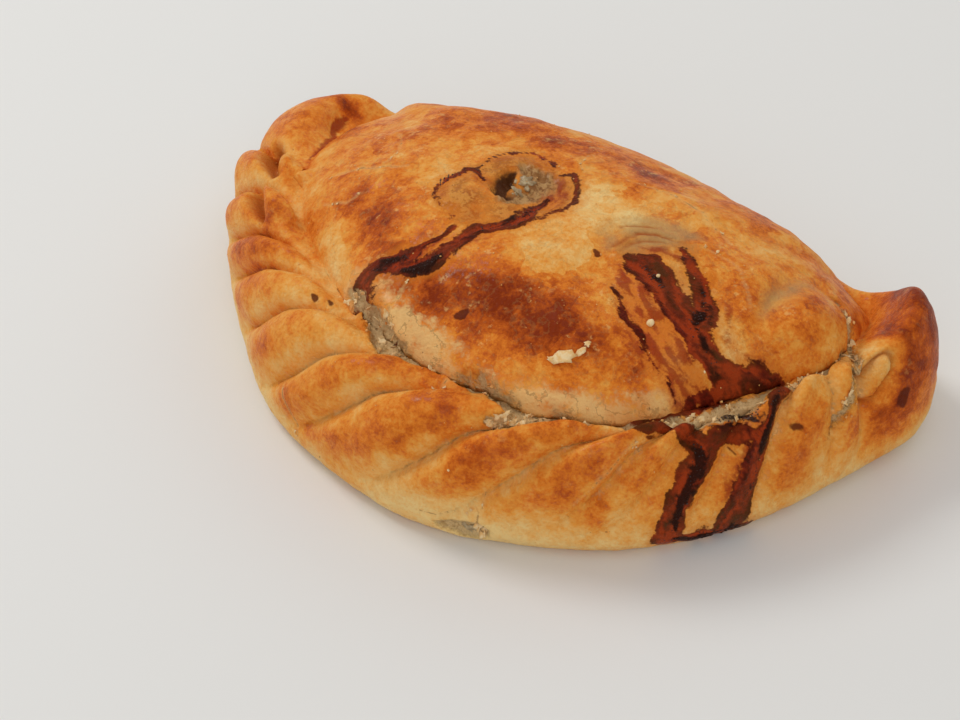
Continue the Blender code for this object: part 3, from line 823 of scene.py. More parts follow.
class Wire:
    """One output of a shader node, on which arithmetic adds Math nodes."""

    def __init__(self, bench: "Bench", socket: bpy.types.NodeSocket) -> None:
        """Hold the socket and the bench that its node is on."""
        self.bench = bench
        self.socket = socket

    def _math(self, operation: str, first: "Wire | float", second: "Wire | float") -> "Wire":
        """Return a Math node's result."""
        return self.bench.node("ShaderNodeMath", {"operation": operation}, {0: first, 1: second})

    def __add__(self, other: "Wire | float") -> "Wire":
        """Return the sum."""
        return self._math("ADD", self, other)

    def __radd__(self, other: float) -> "Wire":
        """Return the sum, with the number first."""
        return self._math("ADD", other, self)

    def __sub__(self, other: "Wire | float") -> "Wire":
        """Return the difference."""
        return self._math("SUBTRACT", self, other)

    def __rsub__(self, other: float) -> "Wire":
        """Return the difference, with the number first."""
        return self._math("SUBTRACT", other, self)

    def __mul__(self, other: "Wire | float") -> "Wire":
        """Return the product."""
        return self._math("MULTIPLY", self, other)

    def __rmul__(self, other: float) -> "Wire":
        """Return the product, with the number first."""
        return self._math("MULTIPLY", other, self)


class Bench:
    """A material's node tree, with the few ways in which nodes are added to it."""

    def __init__(self, name: str) -> None:
        """Make the material and keep its surface shader.

        Args:
            name: the material's name.
        """
        self.material = bpy.data.materials.new(name)
        self.material.use_nodes = True
        self.tree = self.material.node_tree
        self.surface = self.tree.nodes["Principled BSDF"]
        self.place = self.node("ShaderNodeTexCoord", output="Object")

    def node(self, kind: str, settings: dict | None = None, inputs: dict | None = None,
             output: int | str = 0) -> Wire:
        """Add a node.

        Args:
            kind: the node's type.
            settings: its properties, set first; stops are a colour ramp's (place, colour) pairs.
            inputs: what each socket holds or is linked to, by name or number.
            output: which output is returned.

        Returns:
            The node's output.
        """
        made = self.tree.nodes.new(kind)
        for name, value in (settings or {}).items():
            if name == "stops":
                self._set_stops(made.color_ramp, value)
            else:
                setattr(made, name, value)
        for name, value in (inputs or {}).items():
            self.feed(made, name, value)
        return Wire(self, made.outputs[output])

    def feed(self, node: bpy.types.Node, name: int | str, value: object) -> None:
        """Link a wire to a node's socket, or set a constant on it.

        Args:
            node: the node that is fed.
            name: its socket's name or number.
            value: a wire, a number or a colour.
        """
        if isinstance(value, Wire):
            self.tree.links.new(value.socket, node.inputs[name])
        else:
            node.inputs[name].default_value = value

    @staticmethod
    def _set_stops(ramp: bpy.types.ColorRamp, stops: Sequence[tuple]) -> None:
        """Give a colour ramp its stops.

        Args:
            ramp: the ramp.
            stops: its (place, colour) pairs.
        """
        while len(ramp.elements) < len(stops):
            ramp.elements.new(1.0)
        for element, (place, colour) in zip(ramp.elements, stops):
            element.position = place
            element.color = (*colour, 1.0)

    def look(self, name: str) -> Wire:
        """Return what the piece's mesh says under a name."""
        return self.node("ShaderNodeAttribute", {"attribute_name": name}, output="Fac")

    def cloud(self, size: float, detail: float, seed: float, rough: float = 0.55) -> Wire:
        """Add noise.

        Args:
            size: its largest lumps' size, in mm.
            detail: how many finer sizes are added.
            seed: moves the pattern.
            rough: how strongly the finer sizes show.

        Returns:
            Values from 0 to 1.
        """
        offset = (seed, 0.7 * seed, 0.3 * seed)
        moved = self.node("ShaderNodeVectorMath", {"operation": "ADD"}, {0: self.place, 1: offset})
        return self.node(
            "ShaderNodeTexNoise",
            {"noise_dimensions": "3D"},
            {"Vector": moved, "Scale": 1.0 / (size * MM), "Detail": detail, "Roughness": rough},
        )

    def ease(self, value: Wire, low: float, high: float) -> Wire:
        """Return 0 below low, 1 above high and a smooth rise between them."""
        inputs = {"Value": value, "From Min": low, "From Max": high}
        return self.node("ShaderNodeMapRange", {"interpolation_type": "SMOOTHSTEP"}, inputs)

    def blend(self, share: Wire, low: Wire | tuple, high: Wire | tuple) -> Wire:
        """Mix two colours.

        Args:
            share: how much of the second there is.
            low, high: the two colours, or wires that carry them.

        Returns:
            The mixed colour.
        """
        first, second = (value if isinstance(value, Wire) else (*value, 1.0) for value in (low, high))
        return self.node("ShaderNodeMix", {"data_type": "RGBA"}, {0: share, 6: first, 7: second}, output=2)

    def cells(self, size: float, place: Wire) -> Wire:
        """Return a value from 0 to 1 for each of many cells of a size in mm."""
        inputs = {"Vector": place, "Scale": 1.0 / (size * MM)}
        return self.node("ShaderNodeTexVoronoi", None, inputs, output="Color")

    def wander(self, size: float, reach: float) -> Wire:
        """Push the place about by noise.

        Args:
            size: the noise's lumps, in mm.
            reach: how far a place is pushed, in mm.

        Returns:
            The pushed place.
        """
        noisy = {"Vector": self.place, "Scale": 1.0 / (size * MM), "Detail": 3.0}
        push = self.node("ShaderNodeTexNoise", {"noise_dimensions": "3D"}, noisy, output="Color")
        centred = self.node("ShaderNodeVectorMath", {"operation": "SUBTRACT"}, {0: push, 1: (0.5,) * 3})
        length = {0: centred, "Scale": 2.0 * reach * MM}
        scaled = self.node("ShaderNodeVectorMath", {"operation": "SCALE"}, length)
        return self.node("ShaderNodeVectorMath", {"operation": "ADD"}, {0: self.place, 1: scaled})

    def bump(self, height: Wire, depth: float) -> Wire:
        """Return a bumped normal, for a height that runs over a depth in mm."""
        inputs = {"Strength": 1.0, "Distance": depth * MM, "Height": height}
        return self.node("ShaderNodeBump", None, inputs)


class Mottle:
    """The noises that the crust's layers share.

    Attributes:
        fine, grain, broad: noise from 0 to 1, by size.
        wobble: what makes a mark's edge ragged, in mm.
    """

    def __init__(self, bench: Bench) -> None:
        """Add the noises to a bench.

        Args:
            bench: the node tree.
        """
        self.fine = bench.cloud(2.4, 5.0, 1.0)
        self.grain = bench.cloud(0.8, 4.0, 2.0, 0.65)
        self.broad = bench.cloud(9.0, 4.0, 3.0)
        self.wobble = (self.fine - 0.5) * 1.9 + (self.grain - 0.5) * 1.1


@dataclass(frozen=True)
class CrustFinish:
    """Egg-washed shortcrust: browned in patches, flaky, juice-stained and torn to the dough.

    Attributes:
        browns: the crust's colour from hardly baked to burnt.
        cream, flake: its pale edges and its lifted flakes.
        ochre, flesh, skin: the soaked pastry, the filling and the grey skin of a rupture, each with
            its darker tone where it has one.
        dough: the soft dough in the tears, with its darker tone.
        halo, film, stain, core: the juice from its faint edge to its burnt middle.
        char, painted_shadow, hole: the charred spots; the painted shadow in the curls' hollows,
            the creases round the second vent and the nub's pinched ring; and the painted shadow in the
            first vent's dark opening.
        relief: the finest relief's depth, in mm.
        glaze: the colour that the egg wash gives its shine.
    """

    browns: tuple = (
        (0.00, (0.90, 0.62, 0.25)),
        (0.22, (0.88, 0.48, 0.14)),
        (0.42, (0.85, 0.345, 0.056)),
        (0.60, (0.76, 0.205, 0.020)),
        (0.78, (0.52, 0.095, 0.009)),
        (1.00, (0.24, 0.028, 0.004)),
    )
    cream: tuple = (0.88, 0.56, 0.22)
    flake: tuple = (0.90, 0.53, 0.18)
    ochre: tuple = (0.66, 0.29, 0.055)
    ochre_shade: tuple = (0.36, 0.095, 0.012)
    flesh: tuple = (0.46, 0.29, 0.13)
    flesh_shade: tuple = (0.19, 0.090, 0.036)
    skin: tuple = (0.48, 0.30, 0.12)
    dough: tuple = (0.72, 0.50, 0.245)
    dough_shade: tuple = (0.40, 0.215, 0.075)
    halo: tuple = (0.68, 0.20, 0.018)
    film: tuple = (0.68, 0.180, 0.022)
    film_dark: tuple = (0.31, 0.024, 0.006)
    stain: tuple = (0.125, 0.006, 0.004)
    stain_edge: tuple = (0.050, 0.003, 0.001)
    core: tuple = (0.018, 0.003, 0.002)
    char: tuple = (0.11, 0.014, 0.004)
    # painted shadow for the curls' hollows, the creases round the second vent and the nub's pinched ring
    painted_shadow: tuple = (0.40, 0.085, 0.012)
    # painted shadow for the first vent's dark opening
    hole: tuple = (0.055, 0.016, 0.006)
    relief: float = 0.62
    glaze: tuple = (1.0, 0.80, 0.50)
    glaze_rough: float = 0.26
    shine: float = 0.07

    def material(self) -> bpy.types.Material:
        """Make the crust's material.

        Returns:
            The material.
        """
        bench = Bench("baked_crust")
        mottle = Mottle(bench)
        look, wobble, grain = bench.look, mottle.wobble, mottle.grain - 0.5
        pale = bench.ease(look("pale") + (mottle.fine - 0.5) * 1.7 + grain * 1.2, 0.30, 1.05)
        torn = look("tear") + wobble
        run = look("streak") + grain * 0.9 + (bench.cloud(3.0, 6.0, 10.0, 0.66) - 0.5) * 1.2
        depth = look("stain") + wobble * 0.8 + run * 0.8
        wet = bench.ease(depth, -0.15, 0.35)

        colour = self._baked(bench, mottle, pale)
        colour = self._ruptured(bench, mottle, colour)
        colour = self._cracked(bench, mottle, colour)
        colour = self._filmed(bench, mottle, run, depth, colour)
        colour = bench.blend(wet * 0.92, colour, self._juice(bench, mottle, run, depth))
        colour = self._torn(bench, mottle, torn, colour)
        colour = self._burnt(bench, mottle, run, colour)
        bench.feed(bench.surface, "Base Color", colour)
        self._dress(bench, mottle, pale, bench.ease(torn, -0.3, 0.5), wet)
        return bench.material

    def _baked(self, bench: Bench, mottle: Mottle, pale: Wire) -> Wire:
        """Colour the baked crust, with its flakes, its pale edges and its fine crazing.

        Args:
            bench, mottle: the node tree and its noises.
            pale: where the crust stayed pale.

        Returns:
            The colour.
        """
        fine, grain, broad = mottle.fine - 0.5, mottle.grain - 0.5, mottle.broad
        flaky = bench.look("flaky")
        brown = bench.look("brown") + (broad - 0.5) * 0.45 + fine * 0.55 + grain * 0.50
        large = bench.cells(11.0, bench.wander(7.0, 5.0))
        small = bench.cells(4.5, bench.wander(3.0, 2.0))
        brown = brown + (large + small * 0.7 - 0.85) * (0.08 + flaky * 0.16)
        colour = bench.node("ShaderNodeValToRGB", {"stops": self.browns}, {0: brown})
        flecks = bench.ease(bench.cloud(2.6, 6.0, 6.0, 0.68), 0.57, 0.64) * bench.ease(broad, 0.44, 0.58)
        colour = bench.blend(flecks * (0.16 + flaky * 0.34), colour, self.flake)
        colour = bench.blend(pale * 0.85, colour, self.cream)
        weave = bench.cloud(8.0, 5.0, 40.0, 0.6) - 0.5
        crazing = 1.0 - bench.ease(weave * weave, 0.00004, 0.00035)
        return bench.blend(crazing * (0.06 + pale * 0.5 + flaky * 0.12), colour, self.dough_shade)

    def _ruptured(self, bench: Bench, mottle: Mottle, colour: Wire) -> Wire:
        """Lay the soaked pastry, the filling and the grey skin of the ruptures over a colour.

        Args:
            bench, mottle: the node tree and its noises.
            colour: what they lie on.

        Returns:
            The colour.
        """
        fine, grain, broad = mottle.fine, mottle.grain - 0.5, mottle.broad
        ochre = bench.ease(bench.look("ochre") + mottle.wobble, -0.6, 0.8) * bench.ease(broad, 0.25, 0.6)
        soaked = bench.ease(fine + (broad - 0.5) * 0.6 + grain * 0.8, 0.42, 0.62)
        colour = bench.blend(ochre * 0.85, colour, bench.blend(soaked, self.ochre_shade, self.ochre))
        flesh = bench.ease(bench.look("flesh") + mottle.wobble * 1.4, -0.9, 1.0)
        meat = bench.blend(bench.ease(fine + grain, 0.36, 0.66), self.flesh_shade, self.flesh)
        colour = bench.blend(flesh * 0.80, colour, meat)
        grey = bench.ease(bench.look("grey") + mottle.wobble, -2.0, 2.0) * bench.ease(broad, 0.30, 0.55)
        return bench.blend(grey * 0.68, colour, self.skin)

    def _cracked(self, bench: Bench, mottle: Mottle, colour: Wire) -> Wire:
        """Lay the cracks, pale-edged and dark inside, over a colour.

        Args:
            bench, mottle: the node tree and its noises.
            colour: what they lie on.

        Returns:
            The colour.
        """
        crack = bench.look("crack") + (mottle.grain - 0.5) * 0.5
        edge = bench.ease(crack + (mottle.fine - 0.5) * 1.2, -0.5, 0.1)
        colour = bench.blend(edge * 0.30, colour, self.cream)
        return bench.blend(bench.ease(crack, 0.0, 0.22) * 0.75, colour, self.dough_shade)

    def _filmed(self, bench: Bench, mottle: Mottle, run: Wire, depth: Wire, colour: Wire) -> Wire:
        """Lay the juice's faint edge and its thin film over a colour.

        Args:
            bench, mottle: the node tree and its noises.
            run, depth: the juice's streaks, and how far inside its stain each place lies.
            colour: what they lie on.

        Returns:
            The colour.
        """
        colour = bench.blend(bench.ease(depth, -2.6, 0.2) * 0.55, colour, self.halo)
        inside = bench.look("film")
        film = bench.ease(inside + mottle.wobble * 1.3 + run * 1.5, -1.6, 3.0)
        streaky = bench.ease(run + inside * 0.05, -0.15, 0.40)
        return bench.blend(film * 0.82, colour, bench.blend(streaky, self.film, self.film_dark))

    def _juice(self, bench: Bench, mottle: Mottle, run: Wire, depth: Wire) -> Wire:
        """Colour the thick dried juice.

        Args:
            bench, mottle: the node tree and its noises.
            run, depth: the juice's streaks, and how far inside its stain each place lies.

        Returns:
            The colour, streaked lengthways and darkest at its outline.
        """
        rim = bench.ease(depth, -0.10, 0.15) - bench.ease(depth, 0.25, 0.9)
        outline = rim * bench.ease(mottle.broad, 0.42, 0.58)
        tone = bench.blend(bench.ease(run, -0.45, 0.10), self.film_dark, self.stain)
        tone = bench.blend(bench.ease(run, 0.05, 0.50) * 0.8, tone, self.core)
        return bench.blend(outline * 0.8, tone, self.stain_edge)

    def _torn(self, bench: Bench, mottle: Mottle, torn: Wire, colour: Wire) -> Wire:
        """Lay the soft dough of the tears over a colour.

        Args:
            bench, mottle: the node tree and its noises.
            torn: how far inside a tear each place lies.
            colour: what it lies on.

        Returns:
            The colour.
        """
        crumbly = bench.ease(mottle.grain + (mottle.fine - 0.5) * 0.8, 0.26, 0.50)
        dough = bench.blend(crumbly, self.dough_shade, self.dough)
        return bench.blend(bench.ease(torn, -0.1, 0.5) * 0.88, colour, dough)

    def _burnt(self, bench: Bench, mottle: Mottle, run: Wire, colour: Wire) -> Wire:
        """Lay the burnt juice, the charred spots and the painted shadow of the folds, the ear's fold and
        the first vent's opening over a colour.

        Args:
            bench, mottle: the node tree and its noises.
            run: the juice's streaks.
            colour: what it lies on.

        Returns:
            The colour.
        """
        look, ease, wobble = bench.look, bench.ease, mottle.wobble
        specks = ease(bench.cloud(1.6, 2.0, 25.0), 0.74, 0.78) * ease(mottle.broad, 0.46, 0.56)
        layers = (
            (ease(look("core") + run * 1.6, 0.0, 1.1) * 0.93, self.core),
            (ease(look("char") + (mottle.fine - 0.5) * 0.7, 0.30, 0.62) * 0.9, self.char),
            # painted shadow of the fold between the left ear and the dome, in the dark juice colour
            (ease(look("redline") + wobble * 0.5, -0.2, 0.5) * 0.8, self.film_dark),
            # painted shadow in the curls' hollows, the second vent's rim creases and the nub's ring
            (look("painted_shadow") * 0.85, self.painted_shadow),
            # painted shadow in the first vent's opening
            (ease(look("hole") + wobble, -0.4, 0.8) * 0.95, self.hole),
            (specks * 0.6, self.char),
        )
        for share, tone in layers:
            colour = bench.blend(share, colour, tone)
        return colour

    def _dress(self, bench: Bench, mottle: Mottle, pale: Wire, dull: Wire, wet: Wire) -> None:
        """Give the surface its roughness, its finest relief and its egg wash.

        Args:
            bench, mottle: the node tree and its noises.
            pale, dull, wet: where the crust is pale, torn and covered in juice.
        """
        surface, fine, grain = bench.surface, mottle.fine, mottle.grain
        rough = 0.40 + (fine - 0.5) * 0.30 + (grain - 0.5) * 0.20 + dull * 0.35 + pale * 0.22 - wet * 0.10
        bench.feed(surface, "Roughness", rough)
        height = fine * 0.5 + grain * 0.7 + dull * grain * 0.9
        bench.feed(surface, "Normal", bench.bump(height, self.relief))
        gloss = bench.ease(grain + (mottle.broad - 0.5) * 0.8, 0.50, 0.66)
        bench.feed(surface, "Coat Weight", gloss * (1.0 - dull) * (1.0 - wet) * 0.24)
        bench.feed(surface, "Coat Roughness", self.glaze_rough)
        bench.feed(surface, "Coat Tint", (*self.glaze, 1.0))
        bench.feed(surface, "Specular IOR Level", self.shine)
        bench.feed(surface, "Specular Tint", (*self.glaze, 1.0))


# ---------------------------------------------------------------- the crust


@dataclass
class Crust:
    """The whole baked crust, as one fine mesh that stands for the plain solid.

    Attributes:
        name: the piece's name.
        form: the plain form that the relief is laid on.
        marks: how far inside each kind of mark every place lies, in mm, by name.
        rise, crease: the rope's lobes, in mm, and the nearness of its creases.
        flow: the runs in the juice.
        points: the finished surface, in mm.
        facing: its outward normals.
        looks: what the finish reads over the surface, one grid for each name.
    """

    name: str = "baked_crust"
    form: Form = field(default_factory=Form)
    marks: dict = field(init=False)
    rise: np.ndarray = field(init=False)
    crease: np.ndarray = field(init=False)
    flow: np.ndarray = field(init=False)
    points: np.ndarray = field(init=False)
    facing: np.ndarray = field(init=False)
    looks: dict = field(init=False)

    def __post_init__(self) -> None:
        """Lay the marks, the relief and the looks on the form."""
        form = self.form
        ragged = form.chart + np.stack([way.over(form.points) for way in RAGGED_WAYS], axis=-1)
        self.marks = {name: widest(strokes, ragged) for name, strokes in RAGGED_MARKS.items()}
        self.marks |= {name: widest(strokes, form.chart) for name, strokes in EVEN_MARKS.items()}
        self.rise, self.crease = lobes(form)
        self.flow = flowing(STAINS + FILMS, ragged)
        dome = (1.0 - smooth_step(form.down, -0.12, 0.02))[None, :]
        front = smooth_step(-form.chart[..., 1], 20.0, 27.0) * smooth_step(form.chart[..., 0], -34.0, -22.0)
        ring = bell(self.marks["button"], -0.5, 0.7)
        self._lift(dome, front, ring)
        self.looks = {
            "brown": self._brownness(),
            "pale": self._paleness(front),
            "tear": np.maximum(self.marks["tear"], self.marks["burst"]),
            "streak": self.flow,
            "char": np.clip(summed(CHARS, ragged), 0.0, 1.2),
            "painted_shadow": self._shading(ring),
            "flaky": dome * np.ones_like(self.rise),
        }
        for name in ("stain", "core", "film", "ochre", "flesh", "grey", "hole", "crack", "redline"):
            self.looks[name] = self.marks[name]

    def _lift(self, dome: np.ndarray, front: np.ndarray, ring: np.ndarray) -> None:
        """Push the form's points out and in along its normals.

        Args:
            dome, front: 1 on the dome, and 1 along its front edge.
            ring: 1 in the pinched ring round the nub.
        """
        form, marks, plain = self.form, self.marks, self.form.points
        height = self.rise - CREASE_SINK * self.crease + summed(SWELLS, form.chart)
        height += BROAD_LUMPS.over(plain) * (BROAD_LEAST + (1.0 - BROAD_LEAST) * dome)
        height += FINE_LUMPS.over(plain)
        height += FLAP_RISE * front * bell(form.down, 0.0, FLAP_REACH)[None, :]
        for name, change in (*GASHES.items(), *RISES.items()):
            height += change.over(marks[name])
        height -= BUTTON_RING * ring
        height += TORN_LUMPS.over(plain) * smooth_step(marks["tear"], -0.2, 0.6)
        inner = np.maximum(marks["flesh"], marks["hole"])
        height += FLESH_LUMPS.over(plain) * smooth_step(inner, -1.0, 1.0)
        juice = np.maximum(marks["stain"], marks["film"])
        height += FLOW_RISE * self.flow * smooth_step(juice, -0.5, 1.0)
        height *= (1.0 - smooth_step(form.down, 1.0, 1.02))[None, :]
        self.points = plain + facing_of(plain) * height[..., None]
        base = form.dome_rows + form.side_rows
        self.points[:, base:] = plain[:, base:]
        self.points[..., 2] = np.maximum(self.points[..., 2], 0.0)
        self.facing = facing_of(self.points)

    def _brownness(self) -> np.ndarray:
        """Work out how far the oven browned the crust, with painted shadow in the creases on the left and
        painted sheen on the left side.

        Returns:
            Values that are highest on its tops and lowest low down.
        """
        form = self.form
        crimp, plain = form.crimp[:, None], form.points
        low = 1.0 - smooth_step(plain[..., 2], 2.0, 15.0)
        rope = crimp * smooth_step(form.down, 0.0, 0.1)[None, :]
        # patches of browning, with painted sheen on the left side; paler low down
        brown = EVEN_BROWN + summed(BROWNING_AND_SHEEN, form.chart) - 0.32 * low
        brown += rope * (0.20 * np.clip(self.rise / LOBE_TOP, 0.0, 1.0) - 0.10)
        brown -= 0.10 * (1.0 - crimp) * smooth_step(form.down, -0.2, 0.3)[None, :]
        brown += BROWN_BROAD.over(plain) + BROWN_FINE.over(plain)
        # painted shadow: the creases round the left ear and the rope's left part are browned darker
        return brown + 0.30 * self.crease * (1.0 - self._rightward())

    def _rightward(self) -> np.ndarray:
        """Return 0 round the left ear and 1 from the front's left part on."""
        return smooth_step(self.form.chart[..., 0], -62.0, -25.0)

    def _paleness(self, front: np.ndarray) -> np.ndarray:
        """Find where the crust stayed pale: in the creases and along the flap's edge.

        Args:
            front: 1 along the dome's front edge.

        Returns:
            Values from 0 to 1.
        """
        form = self.form
        reach = 0.10 + 0.16 * smooth_step(-form.chart[..., 0], -12.0, 10.0)
        down = form.down[None, :]
        edge = smooth_step(down / reach, -1.0, -0.15) * (down < 0.05) * front
        patchy = 0.85 + FLAP_PATCHES.over(form.points)
        return np.clip(0.75 * self.crease * self._rightward() + 1.1 * edge * patchy, 0.0, 1.0)

    def _shading(self, ring: np.ndarray) -> np.ndarray:
        """Return how deep in a fold each place lies, for the nub's pinched ring as well, as the amount of
        painted shadow there.

        Args:
            ring: 1 in the pinched ring round the nub.

        Returns:
            Values of 0 outside the folds and about 1 inside them.
        """
        hollow, leaf, rim = (self.marks[name] for name in ("hollow", "leaf", "rim"))
        curl = np.clip(smooth_step(hollow, -1.2, 1.0) - smooth_step(leaf, -1.0, 0.5), 0.0, 1.0)
        return curl + smooth_step(rim, -0.3, 0.5) + 0.8 * ring

    def spot(self, x: float, y: float) -> tuple[np.ndarray, np.ndarray]:
        """Find a place on the crust.

        Args:
            x, y: the place on the unrolled crust, in mm.

        Returns:
            The surface's point and its outward normal there.
        """
        last = self.form.dome_rows + self.form.side_rows
        gaps = np.sum((self.form.chart[:, 1:last] - (x, y)) ** 2, axis=-1)
        station, row = np.unravel_index(np.argmin(gaps), gaps.shape)
        return self.points[station, row + 1], self.facing[station, row + 1]

    def build(self) -> bpy.types.Object:
        """Make the crust's object and dress it.

        Returns:
            Its object.
        """
        mesh = grid_mesh(self.name, self.points)
        for name, grid in self.looks.items():
            values = np.concatenate([grid[:1, 0], grid[:, 1:-1].T.reshape(-1), grid[:1, -1]])
            layer = mesh.attributes.new(name, "FLOAT", "POINT")
            layer.data.foreach_set("value", values.astype(np.float32))
        return placed(mesh, CrustFinish().material())


def grid_mesh(name: str, points: np.ndarray) -> bpy.types.Mesh:
    """Make a closed mesh over a grid whose first and last rows are single points.

    Args:
        name: the mesh's name.
        points: the grid, closed along its first axis, in mm.

    Returns:
        The mesh, in metres.
    """
    count, rows = points.shape[:2]
    body = points[:, 1:-1].transpose(1, 0, 2).reshape(-1, 3)
    corners = np.concatenate([points[:1, 0], body, points[:1, -1]])
    last = len(corners) - 1
    steps = [(here, (here + 1) % count) for here in range(count)]
    faces = [(0, 1 + here, 1 + there) for here, there in steps]
    for row in range(rows - 3):
        top, low = 1 + row * count, 1 + (row + 1) * count
        faces += [(top + here, low + here, low + there, top + there) for here, there in steps]
    top = last - count
    faces += [(top + here, last, top + there) for here, there in steps]
    mesh = bpy.data.meshes.new(name)
    mesh.from_pydata((corners * MM).tolist(), [], faces)
    mesh.shade_smooth()
    return mesh


def placed(mesh: bpy.types.Mesh, material: bpy.types.Material | None = None) -> bpy.types.Object:
    """Put a mesh in the scene.

    Args:
        mesh: the mesh, whose name its object takes.
        material: its finish.

    Returns:
        Its object.
    """
    mesh.materials.append(material)
    thing = bpy.data.objects.new(mesh.name, mesh)
    bpy.context.scene.collection.objects.link(thing)
    return thing


# ---------------------------------------------------------------- the loose bits


class Heap:
    """Many small closed shapes gathered into one mesh, in mm.

    Attributes:
        corners, faces: the mesh so far.
        chance: what draws the shapes' unevenness.
    """

    FLAKE_RINGS = (0.55, 1.0)        # where a flake's corners lie between its middle and its rim
    FLAKE_RIM = 0.75                 # how thick it still is at the rim
    FLAKE_WAVE = 0.12                # mm

    def __init__(self, seed: int) -> None:
        """Start empty, with its own run of chance.

        Args:
            seed: where the run of chance starts.
        """
        self.corners: list = []
        self.faces: list = []
        self.chance = random.Random(seed)

    @staticmethod
    def _frame(normal: np.ndarray, heading: float) -> tuple[np.ndarray, np.ndarray, np.ndarray]:
        """Work out the directions in which a shape lies.

        Args:
            normal: which way is up.
            heading: where ahead points in plan, in degrees.

        Returns:
            The unit directions ahead, left and up.
        """
        turn = math.radians(heading)
        up = normal / np.linalg.norm(normal)
        ahead = np.cross((-math.sin(turn), math.cos(turn), 0.0), up)
        ahead /= max(np.linalg.norm(ahead), 1e-6)
        if ahead[0] * math.cos(turn) + ahead[1] * math.sin(turn) < 0.0:
            ahead = -ahead
        return ahead, np.cross(up, ahead), up

    def shard(self, centre: np.ndarray, normal: np.ndarray, heading: float, radii: Sequence[float],
              stretch: float, thick: float, curl: float) -> None:
        """Add a thin ragged flake.

        Args:
            centre, normal: where it lies, and which way is up there.
            heading: its long way, in degrees.
            radii: its outline's distances from the middle, at even turns, in mm.
            stretch: how much longer than wide it is.
            thick: its thickness, in mm.
            curl: how far its rim lifts for each mm out from its middle.
        """
        ahead, left, up = self._frame(normal, heading)
        first, count = len(self.corners), len(radii)
        for layer in (0, 1):
            self.corners.append(centre + up * (thick * layer))
            for ring in self.FLAKE_RINGS:
                solid = self.FLAKE_RIM if ring == 1.0 else 1.0
                body = thick * (layer * solid + (1 - layer) * (1.0 - solid))
                for step, radius in enumerate(radii):
                    turn = 2.0 * math.pi * step / count
                    out = radius * ring
                    lift = curl * out * out / max(radii) * (0.6 + 0.4 * math.cos(turn - 0.8))
                    wave = self.FLAKE_WAVE * ring * math.sin(3.0 * turn + first)
                    flat = ahead * (math.cos(turn) * out * stretch) + left * (math.sin(turn) * out)
                    self.corners.append(centre + flat + up * (lift + wave + body))
        self._close_flake(first, count)

    def _close_flake(self, first: int, count: int) -> None:
        """Add a flake's faces: its two sides and its rim.

        Args:
            first: its first corner.
            count: how many corners go round it.
        """
        size = 1 + 2 * count
        low, high = first + 1 + count, first + size + 1 + count
        steps = [(step, (step + 1) % count) for step in range(count)]
        for layer in (0, 1):
            base = first + layer * size
            for step, after in steps:
                here, there = base + 1 + step, base + 1 + after
                inner = (base, here, there)
                outer = (here, here + count, there + count, there)
                self.faces += [inner, outer] if layer else [inner[::-1], outer[::-1]]
        self.faces += [(low + step, low + after, high + after, high + step) for step, after in steps]

    def lump(self, centre: np.ndarray, normal: np.ndarray, radius: float, flat: float, fine: int,
             rough: float) -> None:
        """Add an uneven rounded lump.

        Args:
            centre, normal: where its middle is, and which way is up there.
            radius: its size in mm.
            flat: its height over its width.
            fine: how finely it is divided.
            rough: how uneven it is.
        """
        ball = bmesh.new()
        bmesh.ops.create_icosphere(ball, subdivisions=fine, radius=1.0)
        ahead, left, up = self._frame(normal, self.chance.uniform(0.0, 360.0))
        shift = Vector((self.chance.uniform(0.0, 90.0), self.chance.uniform(0.0, 90.0), 0.0))
        squeeze = self.chance.uniform(0.7, 1.0)
        first = len(self.corners)
        for corner in ball.verts:
            grown = radius * (1.0 + rough * noise.fractal(corner.co * 1.4 + shift, 1.0, 2.0, 3))
            place = ahead * corner.co.x + left * (corner.co.y * squeeze) + up * (corner.co.z * flat)
            self.corners.append(centre + place * grown)
        self.faces += [tuple(first + corner.index for corner in face.verts) for face in ball.faces]
        ball.free()

    def piece(self, name: str, tone: Tone) -> bpy.types.Object:
        """Gather the shapes into one piece.

        Args:
            name: the piece's name.
            tone: its finish.

        Returns:
            Its object.
        """
        mesh = bpy.data.meshes.new(name)
        mesh.from_pydata((np.array(self.corners) * MM).tolist(), [], self.faces)
        mesh.shade_smooth()
        return placed(mesh, tone.value.material())


@dataclass(frozen=True)
class BitFinish:
    """A small bit's finish: two tones mottled together.

    Attributes:
        name: the material's name.
        light, dark: the two tones.
        rough: its roughness.
        size: the mottling's size, in mm.
        coat: how glossy a glaze lies on it.
        relief: the finest relief's depth, in mm.
        shine: how strongly it reflects.
    """

    name: str
    light: tuple
    dark: tuple
    rough: float = 0.6
    size: float = 0.9
    coat: float = 0.0
    relief: float = 0.12
    shine: float = 0.25

    def material(self) -> bpy.types.Material:
        """Make the finish's material.

        Returns:
            The material.
        """
        bench = Bench(self.name)
        mottle = bench.cloud(self.size, 4.0, 21.0)
        colour = bench.blend(bench.ease(mottle, 0.35, 0.65), self.dark, self.light)
        bench.feed(bench.surface, "Base Color", colour)
        bench.feed(bench.surface, "Roughness", self.rough + (mottle - 0.5) * 0.4)
        bench.feed(bench.surface, "Normal", bench.bump(bench.cloud(0.5, 4.0, 22.0), self.relief))
        bench.feed(bench.surface, "Coat Weight", self.coat)
        bench.feed(bench.surface, "Specular IOR Level", self.shine)
        return bench.material


